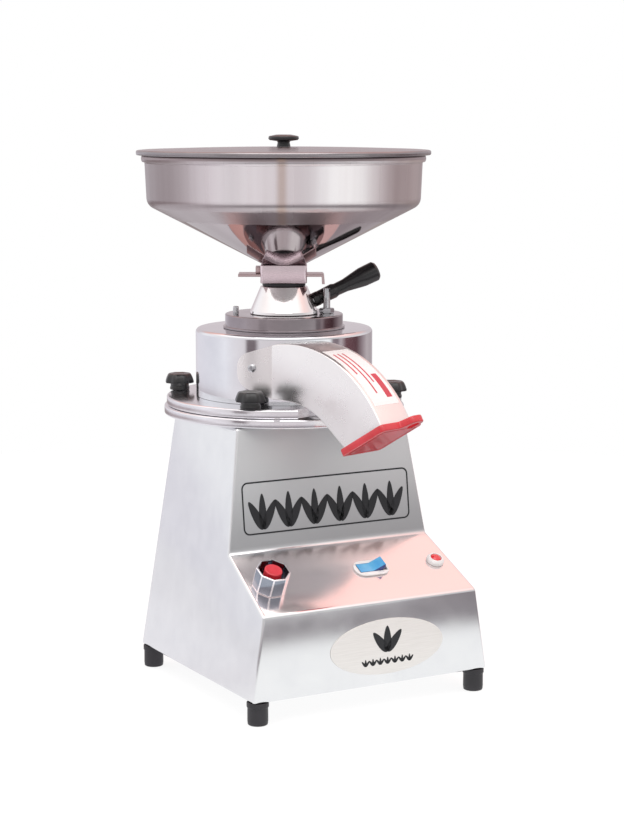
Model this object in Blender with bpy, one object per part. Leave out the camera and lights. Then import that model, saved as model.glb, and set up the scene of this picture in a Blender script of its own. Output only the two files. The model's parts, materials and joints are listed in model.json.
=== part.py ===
"""Domestic flour mill with a vertical spindle: folded steel housing, motor, stones, drum, spout and hopper.

Metres, +Z up. The floor is at z = 0 and the origin lies below the middle of the whole mill. Every piece
hangs from the empty "mill", whose origin is on the spindle at floor level, so lengths called a reach
run from the spindle.
"""

import math

import bmesh
import bpy
from mathutils import Matrix, Vector

# Clearances
GAP = 0.0003
RUNNING_GAP = 0.0005
FIT_GAP = 0.001

# How far a cutter reaches past what it cuts
CUT_MARGIN = 0.01

# Feet
FOOT_HEIGHT = 0.027
FOOT_RADIUS = 0.013
FOOT_INSET = 0.0115
FOOT_RECESS_RADIUS = 0.007
FOOT_RECESS_DEPTH = 0.009

# Housing, folded from sheet: a sloping console in front of a tapered tower
SHEET = 0.0015
BASE_WIDTH = 0.318
BASE_FRONT_REACH = 0.221
BASE_BACK_REACH = 0.088
HOUSING_HEIGHT = 0.298
TOP_WIDTH = 0.232
TOP_FRONT_REACH = 0.098
TOP_BACK_REACH = 0.072
APRON_HEIGHT = 0.100
APRON_TOP_REACH = 0.218
CREASE_HEIGHT = 0.152
CREASE_REACH = 0.116
FOLD_RADIUS = 0.0025
LIP_WIDTH = 0.014

# Vents in the back wall and in the bottom plate, and the cord's inlet
VENT_LENGTH = 0.042
VENT_WIDTH = 0.004
VENT_PITCH = 0.012
VENT_ROWS = 5
VENT_COLUMN_OFFSET = 0.036
VENT_Z = 0.205
FLOOR_VENTS = 4
GLAND_X = 0.095
GLAND_Z = 0.062
GLAND_RADIUS = 0.008
GLAND_BORE = 0.004

# Motor
MOTOR_RADIUS = 0.065
MOTOR_WALL = 0.005
MOTOR_LENGTH = 0.145
SHIELD_THICK = 0.012
SHIELD_RIM = 0.003
SPIGOT_RADIUS = 0.050
SHAFT_RADIUS = 0.009
SHAFT_THREAD_RADIUS = 0.006
BEARING_RADIUS = 0.0195
BEARING_HEIGHT = 0.011
ROTOR_RADIUS = 0.036
CORE_HEIGHT = 0.078
WINDING_OVERHANG = 0.020
FAN_RADIUS = 0.056
FAN_HEIGHT = 0.018
FAN_BLADES = 7
COWL_DEPTH = 0.034
COWL_WALL = 0.0015
CAPACITOR_RADIUS = 0.0215
CAPACITOR_HEIGHT = 0.088
CAPACITOR_FROM_SIDE = 0.064
CAPACITOR_FROM_FRONT = 0.056

# Deck plate, chamber plate and the four clamp knobs
DECK_RADIUS = 0.149
CHAMBER_INSET = 0.003
DECK_THICK = 0.011
SHAFT_HOLE_RADIUS = 0.012
KNOB_CIRCLE_RADIUS = 0.138
STUD_RADIUS = 0.004
STUD_BITE = 0.008
COLLAR_RADIUS = 0.0125
COLLAR_HEIGHT = 0.0085
KNOB_RADIUS = 0.0187
KNOB_HEIGHT = 0.0120
KNOB_LOBES = 8
KNOB_LOBE_DEPTH = 0.045

# Grinding drum and its ring
DRUM_RADIUS = 0.1095
DRUM_WALL = 0.002
DRUM_HEIGHT = 0.083
DRUM_EDGE_RADIUS = 0.005
DRUM_MOUTH_RADIUS = 0.060
RING_RADIUS = 0.073
RING_FLANGE_RADIUS = 0.0755
RING_FLANGE_THICK = 0.0025
RING_HEIGHT = 0.017
RING_SPIGOT_DEPTH = 0.007

# Stones, hub and the threaded carrier of the upper stone
STONE_RADIUS = 0.085
STONE_HEIGHT = 0.026
STONE_EYE_RADIUS = 0.021
GRINDING_GAP = 0.0008
FURROWS = 8
FURROW_WIDTH = 0.006
FURROW_DEPTH = 0.003
HUB_FLOOR_GAP = 0.003
HUB_THICK = 0.008
HUB_RADIUS = 0.078
HUB_BOSS_RADIUS = 0.0195
PADDLE_REACH = 0.104
PADDLES = 4
HUB_NUT_FLATS = 0.019
HUB_NUT_HEIGHT = 0.0075
CARRIER_TUBE_RADIUS = 0.040
CARRIER_BORE = 0.018
CARRIER_FLANGE = 0.005

# Adjuster: the conical neck and its lever, which swings between the stop stud and the bolt
NECK_BASE_RADIUS = 0.0423
NECK_TOP_RADIUS = 0.0288
NECK_HEIGHT = 0.0335
NECK_WALL = 0.004
NECK_MOUTH_RADIUS = 0.015
GASKET_RADIUS = 0.0266
GASKET_HEIGHT = 0.0045
LEVER_ANGLE = math.radians(-13.0)
LEVER_RISE = math.radians(23.5)
LEVER_ROOT_Z = 0.014
LEVER_LENGTH = 0.092
GRIP_ROOT_RADIUS = 0.0088
GRIP_WAIST_RADIUS = 0.0080
GRIP_END_RADIUS = 0.0125
GRIP_STEP = 0.030
GRIP_WAIST = 0.018
GRIP_BULB = 0.020
ROD_RADIUS = 0.005
ROD_DEPTH = 0.055
STOP_ANGLE = math.radians(-30.0)
STOP_CIRCLE_RADIUS = 0.053
STOP_STUD_RADIUS = 0.0044
STOP_STUD_HEIGHT = 0.031
STOP_SLOT_WIDTH = 0.002
STOP_SLOT_DEPTH = 0.005
STOP_NUT_FLATS = 0.0160
STOP_NUT_HEIGHT = 0.006
BOLT_CIRCLE_RADIUS = 0.0596
BOLT_RADIUS = 0.0037
BOLT_HEIGHT = 0.0085

# Gate under the hopper, turned on the spindle so that its tabs show left and right
GATE_TURN = math.radians(-29.0)
GATE_WIDTH = 0.057
GATE_DEPTH = 0.054
GATE_HEIGHT = 0.022
GATE_CORNER = 0.003
GATE_BORE = 0.0085
GATE_SPIGOT_RADIUS = 0.0142
GATE_SPIGOT_DEPTH = 0.007
SLIDE_WIDTH = 0.040
SLIDE_THICK = 0.003
SLIDE_Z = 0.0075
SLIDE_LEFT = 0.056
SLIDE_RIGHT = 0.0495
SLIDE_LIP = 0.009
STOP_BAR_LENGTH = 0.006
STOP_BAR_HEIGHT = 0.0085
STOP_BAR_WIDTH = 0.020

# Hopper, lid and lid knob
HOPPER_WALL = 0.0012
HOPPER_FOOT_RADIUS = 0.027
HOPPER_OUTLET_RADIUS = 0.0133
HOPPER_SPIGOT_RADIUS = 0.0145
HOPPER_SPIGOT_DEPTH = 0.009
HOPPER_CORNER_RADIUS_OUT = 0.168
HOPPER_CORNER_FILLET = 0.014
HOPPER_TOP_RADIUS = 0.1705
HOPPER_CONE_HEIGHT = 0.073
HOPPER_SIDE_HEIGHT = 0.060
HOPPER_BEAD = 0.004
HOPPER_BEAD_HEIGHT = 0.008
LID_OVERHANG = 0.006
LID_FLANGE_HEIGHT = 0.0065
LID_DOME = 0.0032
LID_SHEET = 0.0012
LID_SKIRT = 0.007
LID_KNOB_RADIUS = 0.0188
LID_KNOB_STEM = 0.0088
LID_KNOB_HEIGHT = 0.0146
LID_KNOB_HEAD = 0.0072

# Spout: a bent sheet duct that leaves the drum's front and turns down
SPOUT_TURN = math.radians(17.0)
SPOUT_ROOT_ANGLE = math.radians(35.8)
SPOUT_SHEET = 0.0012
SPOUT_WIDTH = 0.052
SPOUT_TOP_START = 0.0730
SPOUT_TOP_RISE = 0.0038
SPOUT_TOP_CREST = 0.035
SPOUT_TOP_RADIUS = 0.160
SPOUT_FLOOR_START = 0.0080
SPOUT_FLOOR_STRAIGHT = 0.025
SPOUT_FLOOR_RADIUS = 0.100
SPOUT_FLOOR_BEND = math.radians(38.0)
SPOUT_TOP_LENGTH = 0.1760
SPOUT_FLOOR_LENGTH = 0.1205
TAB_REACH = math.radians(23.0)
TAB_END_TOP = 0.0590
TAB_END_FLOOR = 0.0245
TAB_SCREW_ANGLE = math.radians(12.6)
TAB_SCREW_Z = 0.0450
SCREW_HEAD_RADIUS = 0.0052
SCREW_HEAD_HEIGHT = 0.0024
SCREW_RADIUS = 0.002
NOTCH_START = 0.040
OUTLET_REACH = 0.060
OUTLET_BORDER = 0.0035

# Outlet cap
CAP_BORDER = 0.0055
CAP_FAR_BORDER = 0.0095
CAP_THICK = 0.0085
CAP_SOCKET = 0.003
CAP_CORNER = 0.006
CAP_TAB_REACH = 0.015
CAP_TAB_WIDTH = 0.030
CAP_TAB_INSET = 0.006
CAP_TAB_TAPER = 0.003
CAP_TAB_CREST = 0.018
CAP_TAB_HOLE = 0.0075

# Console controls, placed across and up the console's slope from its front edge
COLLAR_FLATS = 0.038
COLLAR_WALL = 0.0018
GUARD_HEIGHT = 0.025
GUARD_X = -0.1133
GUARD_UP = 0.0502
GUARD_FLOOR = 0.002
BARREL_RADIUS = 0.0105
BARREL_BORE = 0.0068
BARREL_DEPTH = 0.013
BUTTON_RADIUS = 0.0110
BUTTON_PROUD = 0.0010
BUTTON_STEM_RADIUS = 0.006
BUTTON_TRAVEL = 0.003
ROCKER_X = 0.0285
ROCKER_UP = 0.0590
BEZEL_LENGTH = 0.046
BEZEL_WIDTH = 0.027
BEZEL_THICK = 0.003
BEZEL_SKIRT = 0.013
BEZEL_SKIRT_WALL = 0.0013
KEY_HALF_LENGTH = 0.0165
KEY_WIDTH = 0.0152
KEY_END_HEIGHT = 0.0080
KEY_CENTRE_HEIGHT = 0.0034
KEY_DEPTH = 0.0045
KEY_TILT = math.radians(15.0)
LAMP_X = 0.1188
LAMP_UP = 0.0585
LAMP_RADIUS = 0.0112
LAMP_HEIGHT = 0.0070
LENS_RADIUS = 0.0068
LAMP_BARREL_DEPTH = 0.014

# Smoothness
LARGE, MEDIUM, SMALL, TINY = 36, 24, 12, 8

# Heights that follow from the sizes above
BASE_Z = FOOT_HEIGHT
TOP_Z = BASE_Z + HOUSING_HEIGHT
APRON_Z = BASE_Z + APRON_HEIGHT
CREASE_Z = BASE_Z + CREASE_HEIGHT
DECK_Z = TOP_Z + GAP
CHAMBER_Z = DECK_Z + DECK_THICK + GAP
CHAMBER_TOP = CHAMBER_Z + DECK_THICK
DRUM_Z = CHAMBER_TOP + GAP
DRUM_TOP = DRUM_Z + DRUM_HEIGHT
RING_Z = DRUM_TOP + GAP
RING_TOP = RING_Z + RING_HEIGHT
NECK_Z = RING_TOP + GAP
NECK_TOP = NECK_Z + NECK_HEIGHT
GASKET_Z = NECK_TOP + GAP
GATE_Z = GASKET_Z + GASKET_HEIGHT + GAP
GATE_TOP = GATE_Z + GATE_HEIGHT
HOPPER_Z = GATE_TOP + GAP
HOPPER_CORNER_Z = HOPPER_Z + HOPPER_CONE_HEIGHT
HOPPER_TOP = HOPPER_CORNER_Z + HOPPER_SIDE_HEIGHT
LID_Z = HOPPER_TOP + GAP
FLANGE_TOP = TOP_Z - SHEET - GAP
FLANGE_Z = FLANGE_TOP - SHIELD_THICK
MOTOR_Z = FLANGE_Z - GAP - MOTOR_LENGTH
END_SHIELD_Z = MOTOR_Z - GAP - SHIELD_THICK
HUB_Z = CHAMBER_TOP + HUB_FLOOR_GAP
RUNNER_Z = HUB_Z + HUB_THICK + GAP
UPPER_STONE_Z = RUNNER_Z + STONE_HEIGHT + GRINDING_GAP
CARRIER_Z = UPPER_STONE_Z + STONE_HEIGHT + GAP
FLOOR_PLATE_Z = BASE_Z + SHEET + GAP
FLOOR_PLATE_TOP = FLOOR_PLATE_Z + SHEET
HUB_BOSS_TOP = RUNNER_Z + STONE_HEIGHT * 0.6
RING_BORE = CARRIER_TUBE_RADIUS + RUNNING_GAP
DRUM_INNER = DRUM_RADIUS - DRUM_WALL
SPOUT_SEAT_RADIUS = DRUM_RADIUS + GAP
LID_RADIUS = HOPPER_TOP_RADIUS + HOPPER_BEAD + LID_OVERHANG
HOPPER_LEAN = (HOPPER_TOP_RADIUS - HOPPER_CORNER_RADIUS_OUT) / HOPPER_SIDE_HEIGHT
LID_SKIRT_RADIUS = HOPPER_TOP_RADIUS - HOPPER_WALL - FIT_GAP - HOPPER_LEAN * (LID_SKIRT + GAP)
LID_KNOB_Z = LID_Z + LID_FLANGE_HEIGHT + LID_DOME + GAP

# The spout's mouth, as points along it and up, and the direction that the flour leaves in
SPOUT_ALONG = Vector((math.sin(SPOUT_TURN), -math.cos(SPOUT_TURN), 0))
SPOUT_ROOT = Vector((-math.sin(SPOUT_ROOT_ANGLE), -math.cos(SPOUT_ROOT_ANGLE), 0)) * (
    SPOUT_SEAT_RADIUS + SPOUT_SHEET
)


def half_width(z):
    """Half the housing's width at a height: the side walls lean in evenly from base to top."""
    return BASE_WIDTH / 2 + (TOP_WIDTH - BASE_WIDTH) / 2 * (z - BASE_Z) / HOUSING_HEIGHT


def spout_top(along):
    """Height of the spout's top sheet above the chamber plate's top."""
    crest = SPOUT_TOP_START + SPOUT_TOP_RISE
    return crest - SPOUT_TOP_RADIUS + math.sqrt(SPOUT_TOP_RADIUS**2 - (along - SPOUT_TOP_CREST) ** 2)


def spout_floor(along):
    """Height of the spout's floor sheet: level, then an arc, then straight at the arc's last slope."""
    bend_run = SPOUT_FLOOR_RADIUS * math.sin(SPOUT_FLOOR_BEND)
    run = along - SPOUT_FLOOR_STRAIGHT
    on_arc = min(max(run, 0), bend_run)
    drop = SPOUT_FLOOR_RADIUS - math.sqrt(SPOUT_FLOOR_RADIUS**2 - on_arc**2)
    drop += max(run - bend_run, 0) * math.tan(SPOUT_FLOOR_BEND)
    return SPOUT_FLOOR_START - drop


MOUTH_TOP = Vector((SPOUT_TOP_LENGTH, 0, CHAMBER_TOP + spout_top(SPOUT_TOP_LENGTH)))
MOUTH_FLOOR = Vector((SPOUT_FLOOR_LENGTH, 0, CHAMBER_TOP + spout_floor(SPOUT_FLOOR_LENGTH)))
MOUTH_UP = (MOUTH_TOP - MOUTH_FLOOR).normalized()
MOUTH_OUT = Vector((0, 1, 0)).cross(MOUTH_UP)
MOUTH_HEIGHT = (MOUTH_TOP - MOUTH_FLOOR).length

# The mill's middle: the cap's tab is its front and the lid's edge is its back
CAP_FRONT = MOUTH_TOP + MOUTH_UP * (CAP_BORDER + CAP_TAB_REACH) + MOUTH_OUT * (CAP_THICK - CAP_SOCKET)
TAB_MIDDLE = SPOUT_WIDTH + CAP_FAR_BORDER - CAP_TAB_INSET - CAP_TAB_TAPER - CAP_TAB_CREST / 2
FRONT_REACH = -(SPOUT_ROOT.y + SPOUT_ALONG.y * CAP_FRONT.x + math.sin(SPOUT_TURN) * TAB_MIDDLE)
SPINDLE_Y = (FRONT_REACH - LID_RADIUS) / 2


def clear_scene():
    for obj in list(bpy.data.objects):
        bpy.data.objects.remove(obj)


def material(name, colour, roughness, metallic=0.0, alpha=1.0):
    found = bpy.data.materials.get(name)
    if found:
        return found
    made = bpy.data.materials.new(name)
    made.use_nodes = True
    shader = made.node_tree.nodes["Principled BSDF"]
    shader.inputs["Base Color"].default_value = (*colour, 1)
    shader.inputs["Roughness"].default_value = roughness
    shader.inputs["Metallic"].default_value = metallic
    shader.inputs["Alpha"].default_value = alpha
    made.diffuse_color = (*colour, alpha)
    return made


def polished_steel():
    return material("polished_steel", (0.78, 0.77, 0.78), 0.12, 1)


def brushed_steel():
    return material("brushed_steel", (0.62, 0.60, 0.60), 0.32, 1)


def plain_steel():
    return material("plain_steel", (0.50, 0.50, 0.52), 0.40, 1)


def cast_aluminium():
    return material("cast_aluminium", (0.60, 0.61, 0.62), 0.45, 1)


def motor_paint():
    return material("motor_paint", (0.10, 0.13, 0.16), 0.50)


def copper_winding():
    return material("copper_winding", (0.45, 0.16, 0.07), 0.45, 1)


def black_plastic():
    return material("black_plastic", (0.012, 0.012, 0.014), 0.40)


def white_plastic():
    return material("white_plastic", (0.82, 0.82, 0.82), 0.35)


def red_plastic():
    return material("red_plastic", (0.70, 0.03, 0.04), 0.35)


def blue_plastic():
    return material("blue_plastic", (0.10, 0.42, 0.82), 0.35)


def red_lens():
    return material("red_lens", (0.80, 0.02, 0.04), 0.15)


def black_rubber():
    return material("black_rubber", (0.020, 0.020, 0.021), 0.75)


def millstone():
    return material("millstone", (0.42, 0.39, 0.35), 0.90)


def empty(name, parent=None, location=(0, 0, 0), rotation=(0, 0, 0)):
    made = bpy.data.objects.new(name, None)
    made.parent = parent
    made.location = location
    made.rotation_euler = rotation
    bpy.context.scene.collection.objects.link(made)
    return made


def place(name, bm, finish, parent, location=(0, 0, 0), rotation=(0, 0, 0), matrix=None, crease=32):
    """Turns a bmesh into a smooth-shaded object at its place."""
    bmesh.ops.recalc_face_normals(bm, faces=bm.faces)
    mesh = bpy.data.meshes.new(name)
    bm.to_mesh(mesh)
    bm.free()
    mesh.shade_smooth()
    mesh.set_sharp_from_angle(angle=math.radians(crease))
    obj = bpy.data.objects.new(name, mesh)
    if finish:
        mesh.materials.append(finish)
    obj.parent = parent
    obj.location = location
    obj.rotation_euler = rotation
    if matrix:
        obj.matrix_local = matrix
    bpy.context.scene.collection.objects.link(obj)
    return obj


def boolean(target, other, operation):
    """Cuts or joins with another object, which becomes a hidden helper."""
    other.hide_render = True
    other.display_type = "WIRE"
    modifier = target.modifiers.new(f"{operation.lower()} {other.name}", "BOOLEAN")
    modifier.object = other
    modifier.operation = operation
    modifier.solver = "EXACT"


def cut(target, *cutters):
    for cutter in cutters:
        boolean(target, cutter, "DIFFERENCE")


def join(target, *others):
    for other in others:
        boolean(target, other, "UNION")


def rounded(points, steps=1):
    """A closed outline whose points may carry a fillet radius and its number of flats, after x and y."""
    outline = []
    for i, point in enumerate(points):
        here = Vector(point[:2])
        if len(point) == 2:
            outline.append(here)
            continue
        flats = point[3] if len(point) > 3 else steps
        before = (Vector(points[i - 1][:2]) - here).normalized()
        after = (Vector(points[(i + 1) % len(points)][:2]) - here).normalized()
        half = before.angle(after) / 2
        bisector = (before + after).normalized()
        centre = here + bisector * point[2] / math.sin(half)
        start = here + before * point[2] / math.tan(half) - centre
        turn = start.angle_signed(here + after * point[2] / math.tan(half) - centre)
        for step in range(flats + 1):
            outline.append(centre + Matrix.Rotation(-turn * step / flats, 2) @ start)
    return outline


def lathe_mesh(outline, segments, closed=True):
    """Spins an outline of (radius, height) points about Z. An open one starts and ends on the axis."""
    bm = bmesh.new()
    verts = [bm.verts.new((p[0], 0, p[1])) for p in outline]
    edges = [bm.edges.new(pair) for pair in zip(verts, verts[1:])]
    if closed:
        edges.append(bm.edges.new((verts[-1], verts[0])))
    bmesh.ops.spin(
        bm, geom=verts + edges, cent=(0, 0, 0), axis=(
            0, 0, 1
        ), angle=math.tau, steps=segments, use_merge=True
    )
    bmesh.ops.remove_doubles(bm, verts=bm.verts, dist=1e-6)
    return bm


def lathe(name, points, finish, parent, segments, closed=True, **where):
    return place(name, lathe_mesh(rounded(points), segments, closed), finish, parent, crease=50, **where)


def tube(name, inner, outer, low, high, finish, parent, segments, fillet=0.0, **where):
    """A plain ring, with its outer edges rounded when a fillet is given."""
    corner = (fillet,) if fillet else ()
    points = [(inner, low), (outer, low, *corner), (outer, high, *corner), (inner, high)]
    return lathe(name, points, finish, parent, segments, **where)


def rod(name, radius, low, high, finish, parent, segments, fillet=0.0, **where):
    corner = (fillet,) if fillet else ()
    points = [(0, low), (radius, low, *corner), (radius, high, *corner), (0, high)]
    return lathe(name, points, finish, parent, segments, closed=False, **where)


def prism_mesh(outline, low, high):
    """Extrudes a closed outline of (x, y) points from one height to another."""
    bm = bmesh.new()
    face = bm.faces.new([bm.verts.new((p[0], p[1], low)) for p in outline])
    extruded = bmesh.ops.extrude_face_region(bm, geom=[face])
    moved = [item for item in extruded["geom"] if isinstance(item, bmesh.types.BMVert)]
    bmesh.ops.translate(bm, verts=moved, vec=(0, 0, high - low))
    return bm


def prism(name, outline, low, high, finish, parent, **where):
    return place(name, prism_mesh(outline, low, high), finish, parent, **where)


def rectangle(width, depth, corner=0.0, middle=(0, 0), steps=2):
    x, y = width / 2, depth / 2
    points = [(middle[0] + a * x, middle[1] + b * y) for a, b in ((-1, -1), (1, -1), (1, 1), (-1, 1))]
    return rounded([(*p, corner) for p in points], steps) if corner else points


def polygon(sides, flats, turn=0.0):
    radius = flats / 2 / math.cos(math.pi / sides)
    return [
        (radius * math.cos(turn + math.tau * i / sides), radius * math.sin(turn + math.tau * i / sides))
        for i in range(sides)
    ]


def box(name, low, high, parent, finish=None, **where):
    outline = [(low[0], low[1]), (high[0], low[1]), (high[0], high[1]), (low[0], high[1])]
    return prism(name, outline, low[2], high[2], finish, parent, **where)


def housing_profile():
    """The side view's corners as (y, z), from the back's foot over the top to the apron's foot."""
    return [
        (BASE_BACK_REACH, BASE_Z),
        (TOP_BACK_REACH, TOP_Z),
        (-TOP_FRONT_REACH, TOP_Z),
        (-CREASE_REACH, CREASE_Z),
        (-APRON_TOP_REACH, APRON_Z),
        (-BASE_FRONT_REACH, BASE_Z),
    ]


def housing_shell(parent, console):
    """One folded sheet shell, open below apart from a lip turned inwards."""
    bm = bmesh.new()
    left, right = [
        [bm.verts.new((side * half_width(z), y, z)) for y, z in housing_profile()] for side in (-1, 1)
    ]
    bm.faces.new(left)
    bm.faces.new(reversed(right))
    for i in range(len(left) - 1):
        bm.faces.new((left[i + 1], left[i], right[i], right[i + 1]))
    rim = [left[0], right[0], right[-1], left[-1]]
    inner = []
    for vert in rim:
        inward = Vector((-math.copysign(LIP_WIDTH, vert.co.x), -math.copysign(LIP_WIDTH, vert.co.y), 0))
        inner.append(bm.verts.new(vert.co + inward))
    for i in range(4):
        j = (i + 1) % 4
        bm.faces.new((rim[i], rim[j], inner[j], inner[i]))
    shell = place("housing_shell", bm, polished_steel(), parent)
    fold = shell.modifiers.new("fold radius", "BEVEL")
    fold.width = FOLD_RADIUS
    fold.segments = 2
    fold.limit_method = "ANGLE"
    fold.angle_limit = math.radians(15)
    wall = shell.modifiers.new("sheet", "SOLIDIFY")
    wall.thickness = SHEET
    wall.offset = -1
    wall.use_even_offset = True
    cut(
        shell,
        rod(
            "housing_top_hole",
            SPIGOT_RADIUS + FIT_GAP,
            TOP_Z - CUT_MARGIN,
            TOP_Z + CUT_MARGIN,
            None,
            parent,
            SMALL,
        ),
        back_vents(parent),
        gland_piece("gland_hole", None, parent, FIT_GAP / 2, hole=True),
        rod(
            "guard_hole",
            BARREL_RADIUS + GAP,
            -CUT_MARGIN,
            CUT_MARGIN,
            None,
            console,
            SMALL,
            location=(GUARD_X, GUARD_UP, 0),
        ),
        prism(
            "rocker_hole",
            bezel_skirt_outline(GAP),
            -CUT_MARGIN,
            CUT_MARGIN,
            None,
            console,
            location=(ROCKER_X, ROCKER_UP, 0),
        ),
        rod(
            "lamp_hole",
            LENS_RADIUS + GAP * 3,
            -CUT_MARGIN,
            CUT_MARGIN,
            None,
            console,
            SMALL,
            location=(LAMP_X, LAMP_UP, 0),
        ),
    )


def slots(bm, count, pitch, length, width, start, depth):
    """Adds round-ended slots, one above another, to a cutter lying in the XY plane."""
    for row in range(count):
        y = start + row * pitch
        outline = rectangle(length, width, width * 0.49, (0, y), 1)
        face = bm.faces.new([bm.verts.new((p[0], p[1], -depth)) for p in outline])
        extruded = bmesh.ops.extrude_face_region(bm, geom=[face])
        moved = [item for item in extruded["geom"] if isinstance(item, bmesh.types.BMVert)]
        bmesh.ops.translate(bm, verts=moved, vec=(0, 0, 2 * depth))


def back_vents(parent):
    """Two columns of louvre slots through the back wall, in line with the motor's fan."""
    bm = bmesh.new()
    for side in (-1, 1):
        start = len(bm.verts)
        slots(bm, VENT_ROWS, VENT_PITCH, VENT_LENGTH, VENT_WIDTH, 0, CUT_MARGIN)
        bm.verts.ensure_lookup_table()
        bmesh.ops.translate(bm, verts=bm.verts[start:], vec=(side * VENT_COLUMN_OFFSET, 0, 0))
    y = BASE_BACK_REACH + (TOP_BACK_REACH - BASE_BACK_REACH) * (VENT_Z - BASE_Z) / HOUSING_HEIGHT
    return place("back_vent_slots", bm, None, parent, location=(0, y, VENT_Z), rotation=(math.pi / 2, 0, 0))


def floor_plate(parent):
    """Closes the housing from below, resting on the turned-in lip."""
    x = half_width(FLOOR_PLATE_TOP) - SHEET - FIT_GAP
    front, back = BASE_FRONT_REACH - SHEET - FIT_GAP, BASE_BACK_REACH - SHEET - FIT_GAP
    outline = [(-x, -front), (x, -front), (x, back), (-x, back)]
    plate = prism("floor_plate", outline, FLOOR_PLATE_Z, FLOOR_PLATE_TOP, plain_steel(), parent)
    bm = bmesh.new()
    start = -VENT_PITCH * (FLOOR_VENTS - 1)
    slots(bm, FLOOR_VENTS, VENT_PITCH * 2, VENT_LENGTH * 2, VENT_WIDTH, start, CUT_MARGIN)
    cut(plate, place("floor_vent_slots", bm, None, parent, location=(0, 0, FLOOR_PLATE_Z)))


def foot(name, x, y, parent):
    """A round rubber foot with a recess below for its screw, its top against the housing's lip."""
    points = [
        (0, FOOT_RECESS_DEPTH),
        (FOOT_RECESS_RADIUS, FOOT_RECESS_DEPTH),
        (FOOT_RECESS_RADIUS, 0),
        (FOOT_RADIUS - 0.001, 0, 0.002),
        (FOOT_RADIUS, BASE_Z - GAP, 0.001),
        (0, BASE_Z - GAP),
    ]
    lathe(name, points, black_rubber(), parent, SMALL, closed=False, location=(x, y, 0))


def feet(parent):
    x = BASE_WIDTH / 2 - FOOT_INSET
    foot("foot_front_left", -x, -BASE_FRONT_REACH + FOOT_INSET, parent)
    foot("foot_front_right", x, -BASE_FRONT_REACH + FOOT_INSET, parent)
    foot("foot_back_left", -x, BASE_BACK_REACH - FOOT_INSET, parent)
    foot("foot_back_right", x, BASE_BACK_REACH - FOOT_INSET, parent)


def gland_piece(name, finish, parent, growth=0.0, hole=False):
    """The cord's inlet, a collar clamped through the back wall, or the hole that it needs."""
    lean = math.atan((BASE_BACK_REACH - TOP_BACK_REACH) / HOUSING_HEIGHT)
    y = BASE_BACK_REACH - math.tan(lean) * (GLAND_Z - BASE_Z)
    where = {"location": (GLAND_X, y, GLAND_Z), "rotation": (lean - math.pi / 2, 0, 0)}
    if hole:
        return rod(name, GLAND_RADIUS + growth, -CUT_MARGIN, CUT_MARGIN, finish, parent, SMALL, **where)
    flange = GLAND_RADIUS + 0.004
    inside = SHEET + GAP
    points = [
        (GLAND_BORE, -inside - 0.006),
        (flange, -inside - 0.006),
        (flange, -inside),
        (GLAND_RADIUS, -inside),
        (GLAND_RADIUS, GAP),
        (flange, GAP),
        (flange, 0.005, 0.002),
        (GLAND_BORE + 0.002, 0.009),
        (GLAND_BORE, 0.009),
    ]
    return lathe(name, points, finish, parent, SMALL, **where)


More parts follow.
